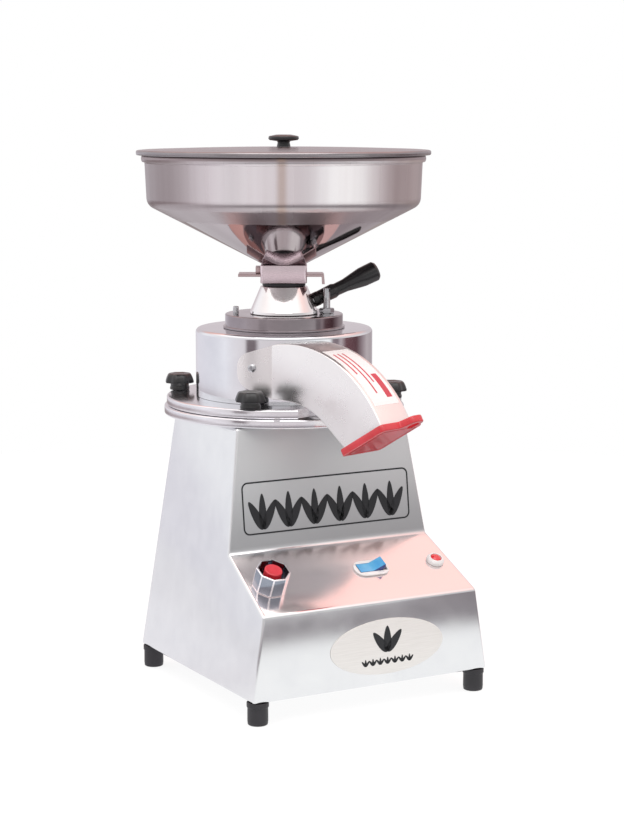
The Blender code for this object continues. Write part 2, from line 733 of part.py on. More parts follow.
def motor(parent):
    shield_radius = MOTOR_RADIUS + SHIELD_RIM
    bore = SHAFT_RADIUS + FIT_GAP
    seat_depth = BEARING_HEIGHT + GAP
    lathe(
        "motor_top_shield",
        [
            (bore, FLANGE_Z),
            (shield_radius, FLANGE_Z),
            (shield_radius, FLANGE_TOP),
            (SPIGOT_RADIUS, FLANGE_TOP),
            (SPIGOT_RADIUS, TOP_Z),
            (BEARING_RADIUS, TOP_Z),
            (BEARING_RADIUS, TOP_Z - seat_depth),
            (bore, TOP_Z - seat_depth),
        ],
        cast_aluminium(),
        parent,
        SMALL,
    )
    tube(
        "motor_body",
        MOTOR_RADIUS - MOTOR_WALL,
        MOTOR_RADIUS,
        MOTOR_Z,
        FLANGE_Z - GAP,
        motor_paint(),
        parent,
        SMALL,
    )
    core_z = MOTOR_Z + (MOTOR_LENGTH - CORE_HEIGHT) / 2
    core_inner, core_outer = ROTOR_RADIUS + RUNNING_GAP, MOTOR_RADIUS - MOTOR_WALL - GAP
    coil_inner, coil_outer = core_inner + 0.006, core_outer - 0.006
    lathe(
        "stator_core",
        [
            (core_inner, core_z),
            (coil_inner, core_z),
            (coil_inner, core_z - WINDING_OVERHANG),
            (coil_outer, core_z - WINDING_OVERHANG),
            (coil_outer, core_z),
            (core_outer, core_z),
            (core_outer, core_z + CORE_HEIGHT),
            (coil_outer, core_z + CORE_HEIGHT),
            (coil_outer, core_z + CORE_HEIGHT + WINDING_OVERHANG),
            (coil_inner, core_z + CORE_HEIGHT + WINDING_OVERHANG),
            (coil_inner, core_z + CORE_HEIGHT),
            (core_inner, core_z + CORE_HEIGHT),
        ],
        copper_winding(),
        parent,
        SMALL,
    )
    tube(
        "rotor",
        SHAFT_RADIUS + GAP,
        ROTOR_RADIUS,
        core_z,
        core_z + CORE_HEIGHT,
        plain_steel(),
        parent,
        SMALL,
    )
    lathe(
        "motor_end_shield",
        [
            (bore, END_SHIELD_Z),
            (shield_radius, END_SHIELD_Z),
            (shield_radius, MOTOR_Z - GAP),
            (BEARING_RADIUS, MOTOR_Z - GAP),
            (BEARING_RADIUS, MOTOR_Z - GAP - seat_depth + FIT_GAP),
            (bore, MOTOR_Z - GAP - seat_depth + FIT_GAP),
        ],
        cast_aluminium(),
        parent,
        SMALL,
    )
    for name, low in (
        ("top_bearing", TOP_Z - BEARING_HEIGHT),
        ("end_bearing", MOTOR_Z - GAP - BEARING_HEIGHT + FIT_GAP),
    ):
        outer = BEARING_RADIUS - GAP
        tube(name, SHAFT_RADIUS + GAP, outer, low, low + BEARING_HEIGHT - GAP, plain_steel(), parent, SMALL)
    fan_z = END_SHIELD_Z - GAP * 4 - FAN_HEIGHT
    thread_top = HUB_BOSS_TOP + 0.010
    lathe(
        "motor_shaft",
        [
            (0, fan_z),
            (SHAFT_RADIUS, fan_z),
            (SHAFT_RADIUS, HUB_BOSS_TOP),
            (SHAFT_THREAD_RADIUS, HUB_BOSS_TOP),
            (SHAFT_THREAD_RADIUS, thread_top),
            (0, thread_top),
        ],
        plain_steel(),
        parent,
        SMALL,
        closed=False,
    )
    cooling_fan(fan_z, parent)
    fan_cowl(shield_radius, parent)
    capacitor(parent)


def cooling_fan(fan_z, parent):
    """A hub with straight radial blades."""
    hub = SHAFT_RADIUS + 0.008
    half = math.asin(0.0012 / hub)
    outline = []
    for blade in range(FAN_BLADES):
        middle = math.tau * blade / FAN_BLADES
        for angle, radius in (
            (-half, hub),
            (-half * hub / FAN_RADIUS, FAN_RADIUS),
            (half * hub / FAN_RADIUS, FAN_RADIUS),
            (half, hub),
        ):
            outline.append((radius * math.cos(middle + angle), radius * math.sin(middle + angle)))
        between = middle + math.pi / FAN_BLADES
        outline.append((hub * math.cos(between), hub * math.sin(between)))
    fan = prism("cooling_fan", outline, fan_z, fan_z + FAN_HEIGHT, black_plastic(), parent)
    cut(
        fan,
        rod(
            "fan_bore",
            SHAFT_RADIUS + GAP,
            fan_z - CUT_MARGIN,
            fan_z + FAN_HEIGHT + CUT_MARGIN,
            None,
            parent,
            SMALL,
        ),
    )


def fan_cowl(shield_radius, parent):
    """A cup over the fan, held on the end shield's rim, with a ring of air holes."""
    inner = shield_radius + GAP
    outer = inner + COWL_WALL
    top = END_SHIELD_Z + SHIELD_THICK * 0.7
    floor = END_SHIELD_Z - COWL_DEPTH
    points = [
        (0, floor),
        (outer, floor, 0.006),
        (outer, top),
        (inner, top),
        (inner, floor + COWL_WALL, 0.005),
        (0, floor + COWL_WALL),
    ]
    cowl = lathe("fan_cowl", points, motor_paint(), parent, SMALL, closed=False)
    bm = bmesh.new()
    holes = 6
    for i in range(holes):
        angle = math.tau * i / holes
        hole = bmesh.ops.create_cone(
            bm, cap_ends=True, segments=TINY, radius1=0.011, radius2=0.011, depth=COWL_DEPTH / 2
        )
        bmesh.ops.translate(
            bm, verts=hole["verts"], vec=(0.045 * math.cos(angle), 0.045 * math.sin(angle), 0)
        )
    cut(cowl, place("cowl_air_holes", bm, None, parent, location=(0, 0, floor)))


def capacitor(parent):
    """The motor's run capacitor, standing on the floor plate inside the console, and its clip."""
    low = FLOOR_PLATE_TOP + GAP
    where = {
        "location": (BASE_WIDTH / 2 - CAPACITOR_FROM_SIDE, CAPACITOR_FROM_FRONT - BASE_FRONT_REACH, 0),
    }
    rod(
        "run_capacitor",
        CAPACITOR_RADIUS,
        low,
        low + CAPACITOR_HEIGHT,
        white_plastic(),
        parent,
        SMALL,
        0.002,
        **where,
    )
    inner = CAPACITOR_RADIUS + GAP
    band_low = low + CAPACITOR_HEIGHT * 0.4
    clip = tube(
        "capacitor_clip",
        inner,
        inner + SHEET,
        band_low,
        band_low + 0.016,
        plain_steel(),
        parent,
        SMALL,
        **where,
    )
    leg_x = inner + SHEET / 4
    leg = box("clip_leg", (leg_x, -0.008, low), (leg_x + SHEET, 0.008, band_low + 0.016), parent, **where)
    pad = box("clip_pad", (leg_x, -0.008, low), (leg_x + 0.016, 0.008, low + SHEET), parent, **where)
    join(clip, leg, pad)


def knob_places():
    """Front left, front right, back right and back left, square to the housing."""
    reach = KNOB_CIRCLE_RADIUS / math.sqrt(2)
    return {
        "front_left": (-reach, -reach),
        "front_right": (reach, -reach),
        "back_right": (reach, reach),
        "back_left": (-reach, reach),
    }


def spout_cutter(name, spout, start, margin):
    """Clears a straight way for the spout through a plate, from a distance along it outwards."""
    low = (start, -margin, CHAMBER_Z - GAP / 2 - CHAMBER_TOP)
    high = (SPOUT_TOP_LENGTH, SPOUT_WIDTH + margin, DECK_THICK)
    return box(name, low, high, spout, location=(0, 0, CHAMBER_TOP))


def deck(parent, spout):
    deck_plate = tube(
        "deck_plate",
        SHAFT_HOLE_RADIUS,
        DECK_RADIUS,
        DECK_Z,
        DECK_Z + DECK_THICK,
        polished_steel(),
        parent,
        LARGE,
        fillet=0.0016,
    )
    chamber_plate = tube(
        "chamber_plate",
        SHAFT_HOLE_RADIUS,
        DECK_RADIUS - CHAMBER_INSET,
        CHAMBER_Z,
        CHAMBER_TOP,
        polished_steel(),
        parent,
        LARGE,
        fillet=0.0016,
    )
    cut(chamber_plate, spout_cutter("spout_notch", spout, NOTCH_START, 0.003))
    hole_radius = STUD_RADIUS + GAP
    stud_low = CHAMBER_Z - GAP - STUD_BITE
    for corner, (x, y) in knob_places().items():
        where = {"location": (x, y, 0)}
        hole = rod(
            f"stud_hole_{corner}",
            hole_radius,
            stud_low - GAP,
            CHAMBER_TOP + CUT_MARGIN,
            None,
            parent,
            TINY,
            **where,
        )
        cut(deck_plate, hole)
        cut(chamber_plate, hole)
        stud_top = CHAMBER_TOP + COLLAR_HEIGHT + KNOB_HEIGHT * 0.55
        rod(f"clamp_stud_{corner}", STUD_RADIUS, stud_low, stud_top, plain_steel(), parent, TINY, **where)
        clamp_knob(f"clamp_knob_{corner}", parent, where)


def lobed_ring(bm, radius, z):
    ring = []
    points = KNOB_LOBES * 3
    for i in range(points):
        angle = math.tau * i / points
        r = radius * (1 - KNOB_LOBE_DEPTH * (0.5 - 0.5 * math.cos(KNOB_LOBES * angle)))
        ring.append(bm.verts.new((r * math.cos(angle), r * math.sin(angle), z)))
    return ring


def clamp_knob(name, parent, where):
    """A moulded knob: a lobed head that narrows upwards, on a round collar, threaded from below."""
    base = CHAMBER_TOP + GAP
    head = base + COLLAR_HEIGHT
    bm = bmesh.new()
    levels = [
        (KNOB_RADIUS * 0.96, head),
        (KNOB_RADIUS, head + KNOB_HEIGHT * 0.20),
        (KNOB_RADIUS * 0.84, head + KNOB_HEIGHT * 0.84),
        (KNOB_RADIUS * 0.72, head + KNOB_HEIGHT),
    ]
    rings = [lobed_ring(bm, radius, z) for radius, z in levels]
    for low, high in zip(rings, rings[1:]):
        for i in range(len(low)):
            j = (i + 1) % len(low)
            bm.faces.new((low[i], low[j], high[j], high[i]))
    bm.faces.new(rings[-1])
    bm.faces.new(list(reversed(rings[0])))
    knob = place(name, bm, black_plastic(), parent, **where)
    collar = rod(f"{name}_collar", COLLAR_RADIUS, base, head + 0.001, None, parent, SMALL, **where)
    join(knob, collar)
    bore_top = CHAMBER_TOP + COLLAR_HEIGHT + KNOB_HEIGHT * 0.55 + GAP * 2
    cut(
        knob,
        rod(f"{name}_bore", STUD_RADIUS + GAP, base - CUT_MARGIN, bore_top, None, parent, TINY, **where),
    )


def drum(parent, spout):
    """The grinding drum, one drawn shell: open below, with a rounded shoulder and a wide round mouth."""
    shell = lathe(
        "grinding_drum",
        [
            (DRUM_INNER, DRUM_Z),
            (DRUM_RADIUS, DRUM_Z),
            (DRUM_RADIUS, DRUM_TOP, DRUM_EDGE_RADIUS, 2),
            (DRUM_MOUTH_RADIUS, DRUM_TOP),
            (DRUM_MOUTH_RADIUS, DRUM_TOP - DRUM_WALL),
            (DRUM_INNER, DRUM_TOP - DRUM_WALL, DRUM_EDGE_RADIUS - DRUM_WALL, 2),
        ],
        polished_steel(),
        parent,
        LARGE,
    )
    low = (-OUTLET_REACH / 2, SPOUT_SHEET + FIT_GAP, SPOUT_FLOOR_START + OUTLET_BORDER)
    high = (OUTLET_REACH, SPOUT_WIDTH - SPOUT_SHEET - FIT_GAP, SPOUT_TOP_START - OUTLET_BORDER)
    cut(shell, box("drum_outlet", low, high, spout, location=(0, 0, CHAMBER_TOP)))
    for side in (-1, 1):
        cut(
            shell,
            screw_piece(f"drum_screw_hole_{side}", side, None, parent, SCREW_RADIUS + GAP, shank_only=True),
        )


def cover_ring(parent):
    """The ring on the drum's top: a spigot in the drum's mouth, and holes for its two fasteners."""
    ring = lathe(
        "cover_ring",
        [
            (RING_BORE, RING_Z - RING_SPIGOT_DEPTH),
            (DRUM_MOUTH_RADIUS - GAP, RING_Z - RING_SPIGOT_DEPTH),
            (DRUM_MOUTH_RADIUS - GAP, RING_Z),
            (RING_FLANGE_RADIUS, RING_Z),
            (RING_FLANGE_RADIUS, RING_Z + RING_FLANGE_THICK, 0.0008),
            (RING_RADIUS, RING_Z + RING_FLANGE_THICK),
            (RING_RADIUS, RING_TOP, 0.0012),
            (RING_BORE, RING_TOP),
        ],
        polished_steel(),
        parent,
        LARGE,
    )
    bite = 0.008
    stud_x, stud_y = STOP_CIRCLE_RADIUS * math.cos(STOP_ANGLE), STOP_CIRCLE_RADIUS * math.sin(STOP_ANGLE)
    bolt_x, bolt_y = -BOLT_CIRCLE_RADIUS * math.cos(STOP_ANGLE), -BOLT_CIRCLE_RADIUS * math.sin(STOP_ANGLE)
    stud_at, bolt_at = {"location": (stud_x, stud_y, 0)}, {"location": (bolt_x, bolt_y, 0)}
    cut(
        ring,
        rod(
            "stop_stud_hole",
            STOP_STUD_RADIUS + GAP,
            RING_TOP - bite - GAP,
            RING_TOP + CUT_MARGIN,
            None,
            parent,
            SMALL,
            **stud_at,
        ),
        rod(
            "cover_bolt_hole",
            BOLT_RADIUS + GAP,
            RING_TOP - bite - GAP,
            RING_TOP + CUT_MARGIN,
            None,
            parent,
            SMALL,
            **bolt_at,
        ),
    )
    top = RING_TOP + STOP_STUD_HEIGHT
    stud = rod(
        "stop_stud", STOP_STUD_RADIUS, RING_TOP - bite, top, plain_steel(), parent, SMALL, 0.0008, **stud_at
    )
    half = STOP_SLOT_WIDTH / 2
    cut(
        stud,
        box(
            "stop_stud_slot",
            (-half, -CUT_MARGIN, top - STOP_SLOT_DEPTH),
            (half, CUT_MARGIN, top + CUT_MARGIN),
            parent,
            **stud_at,
        ),
    )
    nut = prism(
        "stop_nut",
        polygon(6, STOP_NUT_FLATS, GATE_TURN),
        NECK_Z,
        NECK_Z + STOP_NUT_HEIGHT,
        plain_steel(),
        parent,
        **stud_at,
    )
    cut(
        nut,
        rod(
            "stop_nut_bore",
            STOP_STUD_RADIUS + GAP,
            NECK_Z - CUT_MARGIN,
            NECK_Z + STOP_NUT_HEIGHT + CUT_MARGIN,
            None,
            parent,
            SMALL,
            **stud_at,
        ),
    )
    rod(
        "cover_bolt",
        BOLT_RADIUS,
        RING_TOP - bite,
        RING_TOP + BOLT_HEIGHT,
        plain_steel(),
        parent,
        SMALL,
        0.0008,
        **bolt_at,
    )


def furrow_cutter(name, level, parent):
    """Straight furrows from the eye to the rim, each set off from the radius as on a dressed stone."""
    bm = bmesh.new()
    for i in range(FURROWS):
        start = len(bm.verts)
        outline = [
            (STONE_EYE_RADIUS * 0.5, 0.006 - FURROW_WIDTH / 2),
            (STONE_RADIUS * 1.1, 0.012 - FURROW_WIDTH / 2),
            (STONE_RADIUS * 1.1, 0.012 + FURROW_WIDTH / 2),
            (STONE_EYE_RADIUS * 0.5, 0.006 + FURROW_WIDTH / 2),
        ]
        face = bm.faces.new([bm.verts.new((p[0], p[1], -FURROW_DEPTH)) for p in outline])
        extruded = bmesh.ops.extrude_face_region(bm, geom=[face])
        moved = [item for item in extruded["geom"] if isinstance(item, bmesh.types.BMVert)]
        bmesh.ops.translate(bm, verts=moved, vec=(0, 0, 2 * FURROW_DEPTH))
        bm.verts.ensure_lookup_table()
        turn = Matrix.Rotation(math.tau * i / FURROWS, 3, "Z")
        bmesh.ops.rotate(bm, verts=bm.verts[start:], cent=(0, 0, 0), matrix=turn)
    return place(name, bm, None, parent, location=(0, 0, level))


def stones(parent):
    """The runner stone on its hub, and the upper stone under its threaded carrier."""
    runner = tube(
        "runner_stone",
        STONE_EYE_RADIUS,
        STONE_RADIUS,
        RUNNER_Z,
        RUNNER_Z + STONE_HEIGHT,
        millstone(),
        parent,
        MEDIUM,
    )
    upper = tube(
        "upper_stone",
        STONE_EYE_RADIUS,
        STONE_RADIUS,
        UPPER_STONE_Z,
        UPPER_STONE_Z + STONE_HEIGHT,
        millstone(),
        parent,
        MEDIUM,
    )
    for stone, level in ((runner, RUNNER_Z + STONE_HEIGHT), (upper, UPPER_STONE_Z)):
        land = tube(
            f"{stone.name}_land",
            STONE_EYE_RADIUS * 0.4,
            STONE_EYE_RADIUS + 0.004,
            level - CUT_MARGIN,
            level + CUT_MARGIN,
            None,
            parent,
            SMALL,
        )
        furrows = furrow_cutter(f"{stone.name}_furrows", level, parent)
        cut(furrows, land)
        cut(stone, furrows)
    runner_hub(parent)
    tube_top = NECK_Z - GAP * 8
    lathe(
        "stone_carrier",
        [
            (CARRIER_BORE, CARRIER_Z),
            (STONE_RADIUS - 0.004, CARRIER_Z),
            (STONE_RADIUS - 0.004, CARRIER_Z + CARRIER_FLANGE, 0.001),
            (CARRIER_TUBE_RADIUS, CARRIER_Z + CARRIER_FLANGE),
            (CARRIER_TUBE_RADIUS, tube_top),
            (CARRIER_TUBE_RADIUS - 0.006, tube_top),
            (CARRIER_BORE, tube_top - 0.014),
        ],
        cast_aluminium(),
        parent,
        MEDIUM,
    )


def runner_hub(parent):
    """The driven hub: a disc under the runner stone, paddles that sweep the flour, a boss and its nut."""
    outline = []
    steps = 10
    half = 0.035
    for paddle in range(PADDLES):
        middle = math.tau * paddle / PADDLES
        for angle in (-half, half):
            outline.append(
                (
                    PADDLE_REACH * math.cos(middle + angle * 0.7),
                    PADDLE_REACH * math.sin(middle + angle * 0.7),
                )
            )
        span = math.tau / PADDLES - 2 * half
        for step in range(steps + 1):
            angle = middle + half + span * step / steps
            outline.append((HUB_RADIUS * math.cos(angle), HUB_RADIUS * math.sin(angle)))
    hub = prism("runner_hub", outline, HUB_Z, HUB_Z + HUB_THICK, cast_aluminium(), parent)
    join(hub, rod("hub_boss", HUB_BOSS_RADIUS, HUB_Z + 0.001, HUB_BOSS_TOP, None, parent, SMALL))
    cut(
        hub,
        rod(
            "hub_bore",
            SHAFT_RADIUS + GAP,
            HUB_Z - CUT_MARGIN,
            HUB_BOSS_TOP + CUT_MARGIN,
            None,
            parent,
            SMALL,
        ),
    )
    low = HUB_BOSS_TOP + GAP
    nut = prism("hub_nut", polygon(6, HUB_NUT_FLATS), low, low + HUB_NUT_HEIGHT, plain_steel(), parent)
    cut(
        nut,
        rod(
            "hub_nut_bore",
            SHAFT_THREAD_RADIUS + GAP,
            low - CUT_MARGIN,
            low + HUB_NUT_HEIGHT + CUT_MARGIN,
            None,
            parent,
            SMALL,
        ),
    )


def adjuster(parent):
    """The conical neck that turns on the cover ring, and the lever that turns it."""
    slope = math.atan2(NECK_BASE_RADIUS - NECK_TOP_RADIUS, NECK_HEIGHT)
    wall = NECK_WALL / math.cos(slope)
    neck = lathe(
        "adjuster_neck",
        [
            (NECK_BASE_RADIUS - wall, NECK_Z),
            (NECK_BASE_RADIUS, NECK_Z),
            (NECK_TOP_RADIUS, NECK_TOP, 0.001),
            (NECK_MOUTH_RADIUS, NECK_TOP),
            (NECK_MOUTH_RADIUS, NECK_TOP - NECK_WALL),
            (NECK_TOP_RADIUS - wall + 0.001, NECK_TOP - NECK_WALL),
        ],
        polished_steel(),
        parent,
        MEDIUM,
    )
    root_radius = NECK_BASE_RADIUS - LEVER_ROOT_Z * math.tan(slope)
    root = Vector(
        (root_radius * math.cos(LEVER_ANGLE), root_radius * math.sin(LEVER_ANGLE), NECK_Z + LEVER_ROOT_Z)
    )
    turn = Matrix.Rotation(LEVER_ANGLE, 4, "Z") @ Matrix.Rotation(math.pi / 2 - LEVER_RISE, 4, "Y")
    matrix = Matrix.Translation(root) @ turn
    inset = NECK_WALL + 0.003
    cut(
        neck,
        rod("lever_hole", ROD_RADIUS + GAP, -inset * 2, CUT_MARGIN, None, parent, SMALL, matrix=matrix),
    )
    rod("lever_rod", ROD_RADIUS, -inset, ROD_DEPTH, plain_steel(), parent, SMALL, matrix=matrix)
    start = FIT_GAP
    points = [
        (0, start),
        (GRIP_ROOT_RADIUS, start, 0.001),
        (GRIP_ROOT_RADIUS + 0.0006, GRIP_STEP, 0.001),
        (GRIP_WAIST_RADIUS, GRIP_STEP + 0.003),
        (GRIP_WAIST_RADIUS + 0.0004, GRIP_STEP + GRIP_WAIST, 0.02),
        (GRIP_END_RADIUS, LEVER_LENGTH - GRIP_BULB, 0.03),
        (GRIP_END_RADIUS, LEVER_LENGTH - 0.001, 0.003),
        (0, LEVER_LENGTH),
    ]
    grip = lathe("lever_grip", points, black_plastic(), parent, SMALL, closed=False, matrix=matrix)
    cut(
        grip,
        rod(
            "grip_bore",
            ROD_RADIUS + GAP,
            -CUT_MARGIN,
            ROD_DEPTH + GAP * 2,
            None,
            parent,
            SMALL,
            matrix=matrix,
        ),
    )
    tube(
        "neck_gasket",
        NECK_MOUTH_RADIUS,
        GASKET_RADIUS,
        GASKET_Z,
        GASKET_Z + GASKET_HEIGHT,
        black_rubber(),
        parent,
        MEDIUM,
    )


def gate(turned):
    """The gate block under the hopper: a bore, a slot across it, a spigot below and a seat above."""
    block = prism(
        "gate_housing",
        rectangle(GATE_WIDTH, GATE_DEPTH, GATE_CORNER),
        GATE_Z,
        GATE_TOP,
        brushed_steel(),
        turned,
    )
    join(
        block,
        rod(
            "gate_spigot",
            GATE_SPIGOT_RADIUS,
            GATE_Z - GATE_SPIGOT_DEPTH,
            GATE_Z + 0.002,
            None,
            turned,
            SMALL,
        ),
    )
    slot_low = GATE_Z + SLIDE_Z - RUNNING_GAP
    slot_high = slot_low + SLIDE_THICK + 2 * RUNNING_GAP
    half = SLIDE_WIDTH / 2 + RUNNING_GAP
    cut(
        block,
        rod(
            "gate_bore",
            GATE_BORE,
            GATE_Z - GATE_SPIGOT_DEPTH - CUT_MARGIN,
            GATE_TOP + CUT_MARGIN,
            None,
            turned,
            SMALL,
        ),
        rod(
            "gate_seat",
            HOPPER_SPIGOT_RADIUS + GAP * 2,
            GATE_TOP - HOPPER_SPIGOT_DEPTH,
            GATE_TOP + CUT_MARGIN,
            None,
            turned,
            MEDIUM,
        ),
        box("gate_slot", (-GATE_WIDTH, -half, slot_low), (GATE_WIDTH, half, slot_high), turned),
    )
    low = GATE_Z + SLIDE_Z
    high = low + SLIDE_THICK
    side_view = [
        (-SLIDE_LEFT, low),
        (SLIDE_RIGHT - SLIDE_THICK, low),
        (SLIDE_RIGHT - SLIDE_THICK + 0.0005, low - SLIDE_LIP),
        (SLIDE_RIGHT + 0.001, low - SLIDE_LIP),
        (SLIDE_RIGHT, high, 0.0015),
        (-SLIDE_LEFT, high),
    ]
    upright = Matrix.Rotation(math.pi / 2, 4, "X")
    half_slide = SLIDE_WIDTH / 2
    slide = prism(
        "gate_slide", rounded(side_view), -half_slide, half_slide, plain_steel(), turned, matrix=upright
    )
    cut(slide, rod("slide_port", GATE_BORE, low - CUT_MARGIN, high + CUT_MARGIN, None, turned, SMALL))
    stop_right = -GATE_WIDTH / 2 - GAP
    bar_low = (stop_right - STOP_BAR_LENGTH, -STOP_BAR_WIDTH / 2, high + GAP)
    box(
        "gate_stop_bar",
        bar_low,
        (stop_right, STOP_BAR_WIDTH / 2, high + GAP + STOP_BAR_HEIGHT),
        turned,
        plain_steel(),
    )


def hopper(parent):
    """The spun hopper: a funnel, a rounded corner, a near-upright side and a rolled bead."""
    slope = math.atan2(HOPPER_CONE_HEIGHT, HOPPER_CORNER_RADIUS_OUT - HOPPER_FOOT_RADIUS)
    inward = HOPPER_WALL * math.sin(slope)
    upward = HOPPER_WALL / math.cos(slope)
    bead_low = HOPPER_TOP - HOPPER_BEAD_HEIGHT
    bead_radius = HOPPER_TOP_RADIUS + HOPPER_BEAD
    lathe(
        "hopper",
        [
            (HOPPER_OUTLET_RADIUS, HOPPER_Z - HOPPER_SPIGOT_DEPTH + GAP * 2),
            (HOPPER_SPIGOT_RADIUS, HOPPER_Z - HOPPER_SPIGOT_DEPTH + GAP * 2),
            (HOPPER_SPIGOT_RADIUS, HOPPER_Z),
            (HOPPER_FOOT_RADIUS, HOPPER_Z, 0.002),
            (HOPPER_CORNER_RADIUS_OUT, HOPPER_CORNER_Z, HOPPER_CORNER_FILLET, 2),
            (HOPPER_TOP_RADIUS - HOPPER_LEAN * HOPPER_BEAD_HEIGHT, bead_low),
            (bead_radius, bead_low, 0.002),
            (bead_radius, HOPPER_TOP, 0.002),
            (HOPPER_TOP_RADIUS - HOPPER_WALL, HOPPER_TOP),
            (
                HOPPER_CORNER_RADIUS_OUT - HOPPER_WALL,
                HOPPER_CORNER_Z + inward,
                HOPPER_CORNER_FILLET - HOPPER_WALL,
                2,
            ),
            (HOPPER_FOOT_RADIUS - 0.002, HOPPER_Z + upward),
            (HOPPER_OUTLET_RADIUS, HOPPER_Z + 0.002),
        ],
        brushed_steel(),
        parent,
        LARGE,
    )


def lid(parent):
    """A shallow spun dome with a flat flange on the bead and a skirt inside it, and the knob on top."""
    skirt_outer = LID_SKIRT_RADIUS
    flange_inner = skirt_outer + GAP
    flange_top = LID_Z + LID_FLANGE_HEIGHT
    crown = flange_top + LID_DOME
    dome_radius = (flange_inner**2 + LID_DOME**2) / (2 * LID_DOME)

    def dome(offset, steps=3):
        """Points of the dome from the flange to just short of the axis."""
        points = []
        for step in range(steps):
            radius = flange_inner * (1 - step / steps)
            points.append((radius, crown - offset - dome_radius + math.sqrt(dome_radius**2 - radius**2)))
        return points

    outline = [(0, crown)]
    outline += list(reversed(dome(0)))
    rim = [
        (LID_RADIUS, flange_top, 0.002),
        (LID_RADIUS, LID_Z, 0.0015),
        (skirt_outer, LID_Z),
        (flange_inner, flange_top),
    ]
    outline += rounded(rim)[:-1]
    outline += [
        (skirt_outer, LID_Z - LID_SKIRT),
        (skirt_outer - LID_SHEET, LID_Z - LID_SKIRT),
        (skirt_outer - LID_SHEET, flange_top - LID_SHEET - 0.0005),
    ]
    under = [p for p in dome(LID_SHEET) if p[0] < skirt_outer - LID_SHEET - 0.002]
    outline += under + [(0, crown - LID_SHEET)]
    place("lid", lathe_mesh(outline, LARGE, closed=False), brushed_steel(), parent)
    top = LID_KNOB_Z + LID_KNOB_HEIGHT
    head = top - LID_KNOB_HEAD
    lathe(
        "lid_knob",
        [
            (0, LID_KNOB_Z),
            (LID_KNOB_STEM, LID_KNOB_Z),
            (LID_KNOB_STEM * 0.86, head - 0.001),
            (LID_KNOB_RADIUS, head + 0.0015, 0.0015),
            (LID_KNOB_RADIUS * 0.97, top, 0.003),
            (0, top),
        ],
        black_plastic(),
        parent,
        SMALL,
        closed=False,
    )


def spout_side(offset, start, steps=7):
    """The duct's side view, offset inwards from its skin: along the top, and back along the floor."""
    top_end, floor_end = SPOUT_TOP_LENGTH, SPOUT_FLOOR_LENGTH
    reach = CUT_MARGIN * 2 if offset else 0.0
    top = [(start + (top_end - start) * i / steps) for i in range(steps + 1)]
    floor = [(floor_end + (start - floor_end) * i / steps) for i in range(steps + 1)]
    points = [(x, spout_top(x) - offset) for x in top]
    points += [(x, spout_floor(x) + offset) for x in floor]
    if reach:
        away = Vector((MOUTH_OUT.x, MOUTH_OUT.z)) * reach
        points[steps + 1 : steps + 1] = [
            tuple(Vector(points[steps]) + away),
            tuple(Vector(points[steps + 1]) + away),
        ]
    return points


def spout_tab(name, side, spout_seat, parent):
    """A mounting tab bent round the drum: full height at the duct, tapered to its rounded free end."""
    thick = SPOUT_SHEET
    columns = 7
    bm = bmesh.new()
    rings = []
    for column in range(columns):
        share = column / (columns - 1)
        ease = math.sqrt(max(0.0, 1 - ((share - 0.8) / 0.2) ** 2)) if share > 0.8 else 1.0
        middle = (TAB_END_TOP + TAB_END_FLOOR) / 2
        top = SPOUT_TOP_START + (TAB_END_TOP - SPOUT_TOP_START) * share
        floor = SPOUT_FLOOR_START + (TAB_END_FLOOR - SPOUT_FLOOR_START) * share
        top = middle + (top - middle) * (0.55 + 0.45 * ease)
        floor = middle + (floor - middle) * (0.55 + 0.45 * ease)
        angle = spout_seat - side * TAB_REACH * share + side * 0.012 * (1 - share)
        ring = []
        for radius, z in (
            (SPOUT_SEAT_RADIUS, floor),
            (SPOUT_SEAT_RADIUS + thick, floor),
            (SPOUT_SEAT_RADIUS + thick, top),
            (SPOUT_SEAT_RADIUS, top),
        ):
            ring.append(bm.verts.new((radius * math.cos(angle), radius * math.sin(angle), CHAMBER_TOP + z)))
        rings.append(ring)
    for before, after in zip(rings, rings[1:]):
        for i in range(4):
            j = (i + 1) % 4
            bm.faces.new((before[i], before[j], after[j], after[i]))
    bm.faces.new(rings[0])
    bm.faces.new(rings[-1])
    return place(name, bm, None, parent)


def seat_angle(side):
    """Where the duct's near or far plate meets the drum, as an angle about the spindle."""
    across = 0.0 if side > 0 else SPOUT_WIDTH
    start = SPOUT_ROOT + Vector((math.cos(SPOUT_TURN), math.sin(SPOUT_TURN), 0)) * across
    b = start.dot(SPOUT_ALONG)
    c = start.dot(start) - (SPOUT_SEAT_RADIUS + SPOUT_SHEET) ** 2
    meet = start + SPOUT_ALONG * (-b + math.sqrt(b * b - c))
    return math.atan2(meet.y, meet.x)


def spout_duct(parent, spout):
    """The duct: a bent box section with parallel sides, trimmed to the drum, with a tab on either side."""
    upright = Matrix.Translation((0, 0, CHAMBER_TOP)) @ Matrix.Rotation(math.pi / 2, 4, "X")
    outer = spout_side(0, -0.002)
    inner = spout_side(SPOUT_SHEET, -5 * CUT_MARGIN, 10)
    duct = prism("spout_duct", outer, -SPOUT_WIDTH, 0, polished_steel(), spout, matrix=upright)
    hollow = prism(
        "spout_hollow", inner, -SPOUT_WIDTH + SPOUT_SHEET, -SPOUT_SHEET, None, spout, matrix=upright
    )
    for side, name in ((1, "near"), (-1, "far")):
        join(duct, spout_tab(f"spout_tab_{name}", side, seat_angle(side), parent))
    cut(
        duct,
        hollow,
        rod(
            "spout_drum_trim",
            SPOUT_SEAT_RADIUS,
            DRUM_Z - 5 * CUT_MARGIN,
            DRUM_TOP + 5 * CUT_MARGIN,
            None,
            parent,
            LARGE * 2,
        ),
    )
    for side, name in ((1, "near"), (-1, "far")):
        cut(duct, screw_piece(f"tab_hole_{name}", side, None, parent, SCREW_RADIUS + GAP, shank_only=True))
        screw_piece(f"spout_screw_{name}", side, plain_steel(), parent)


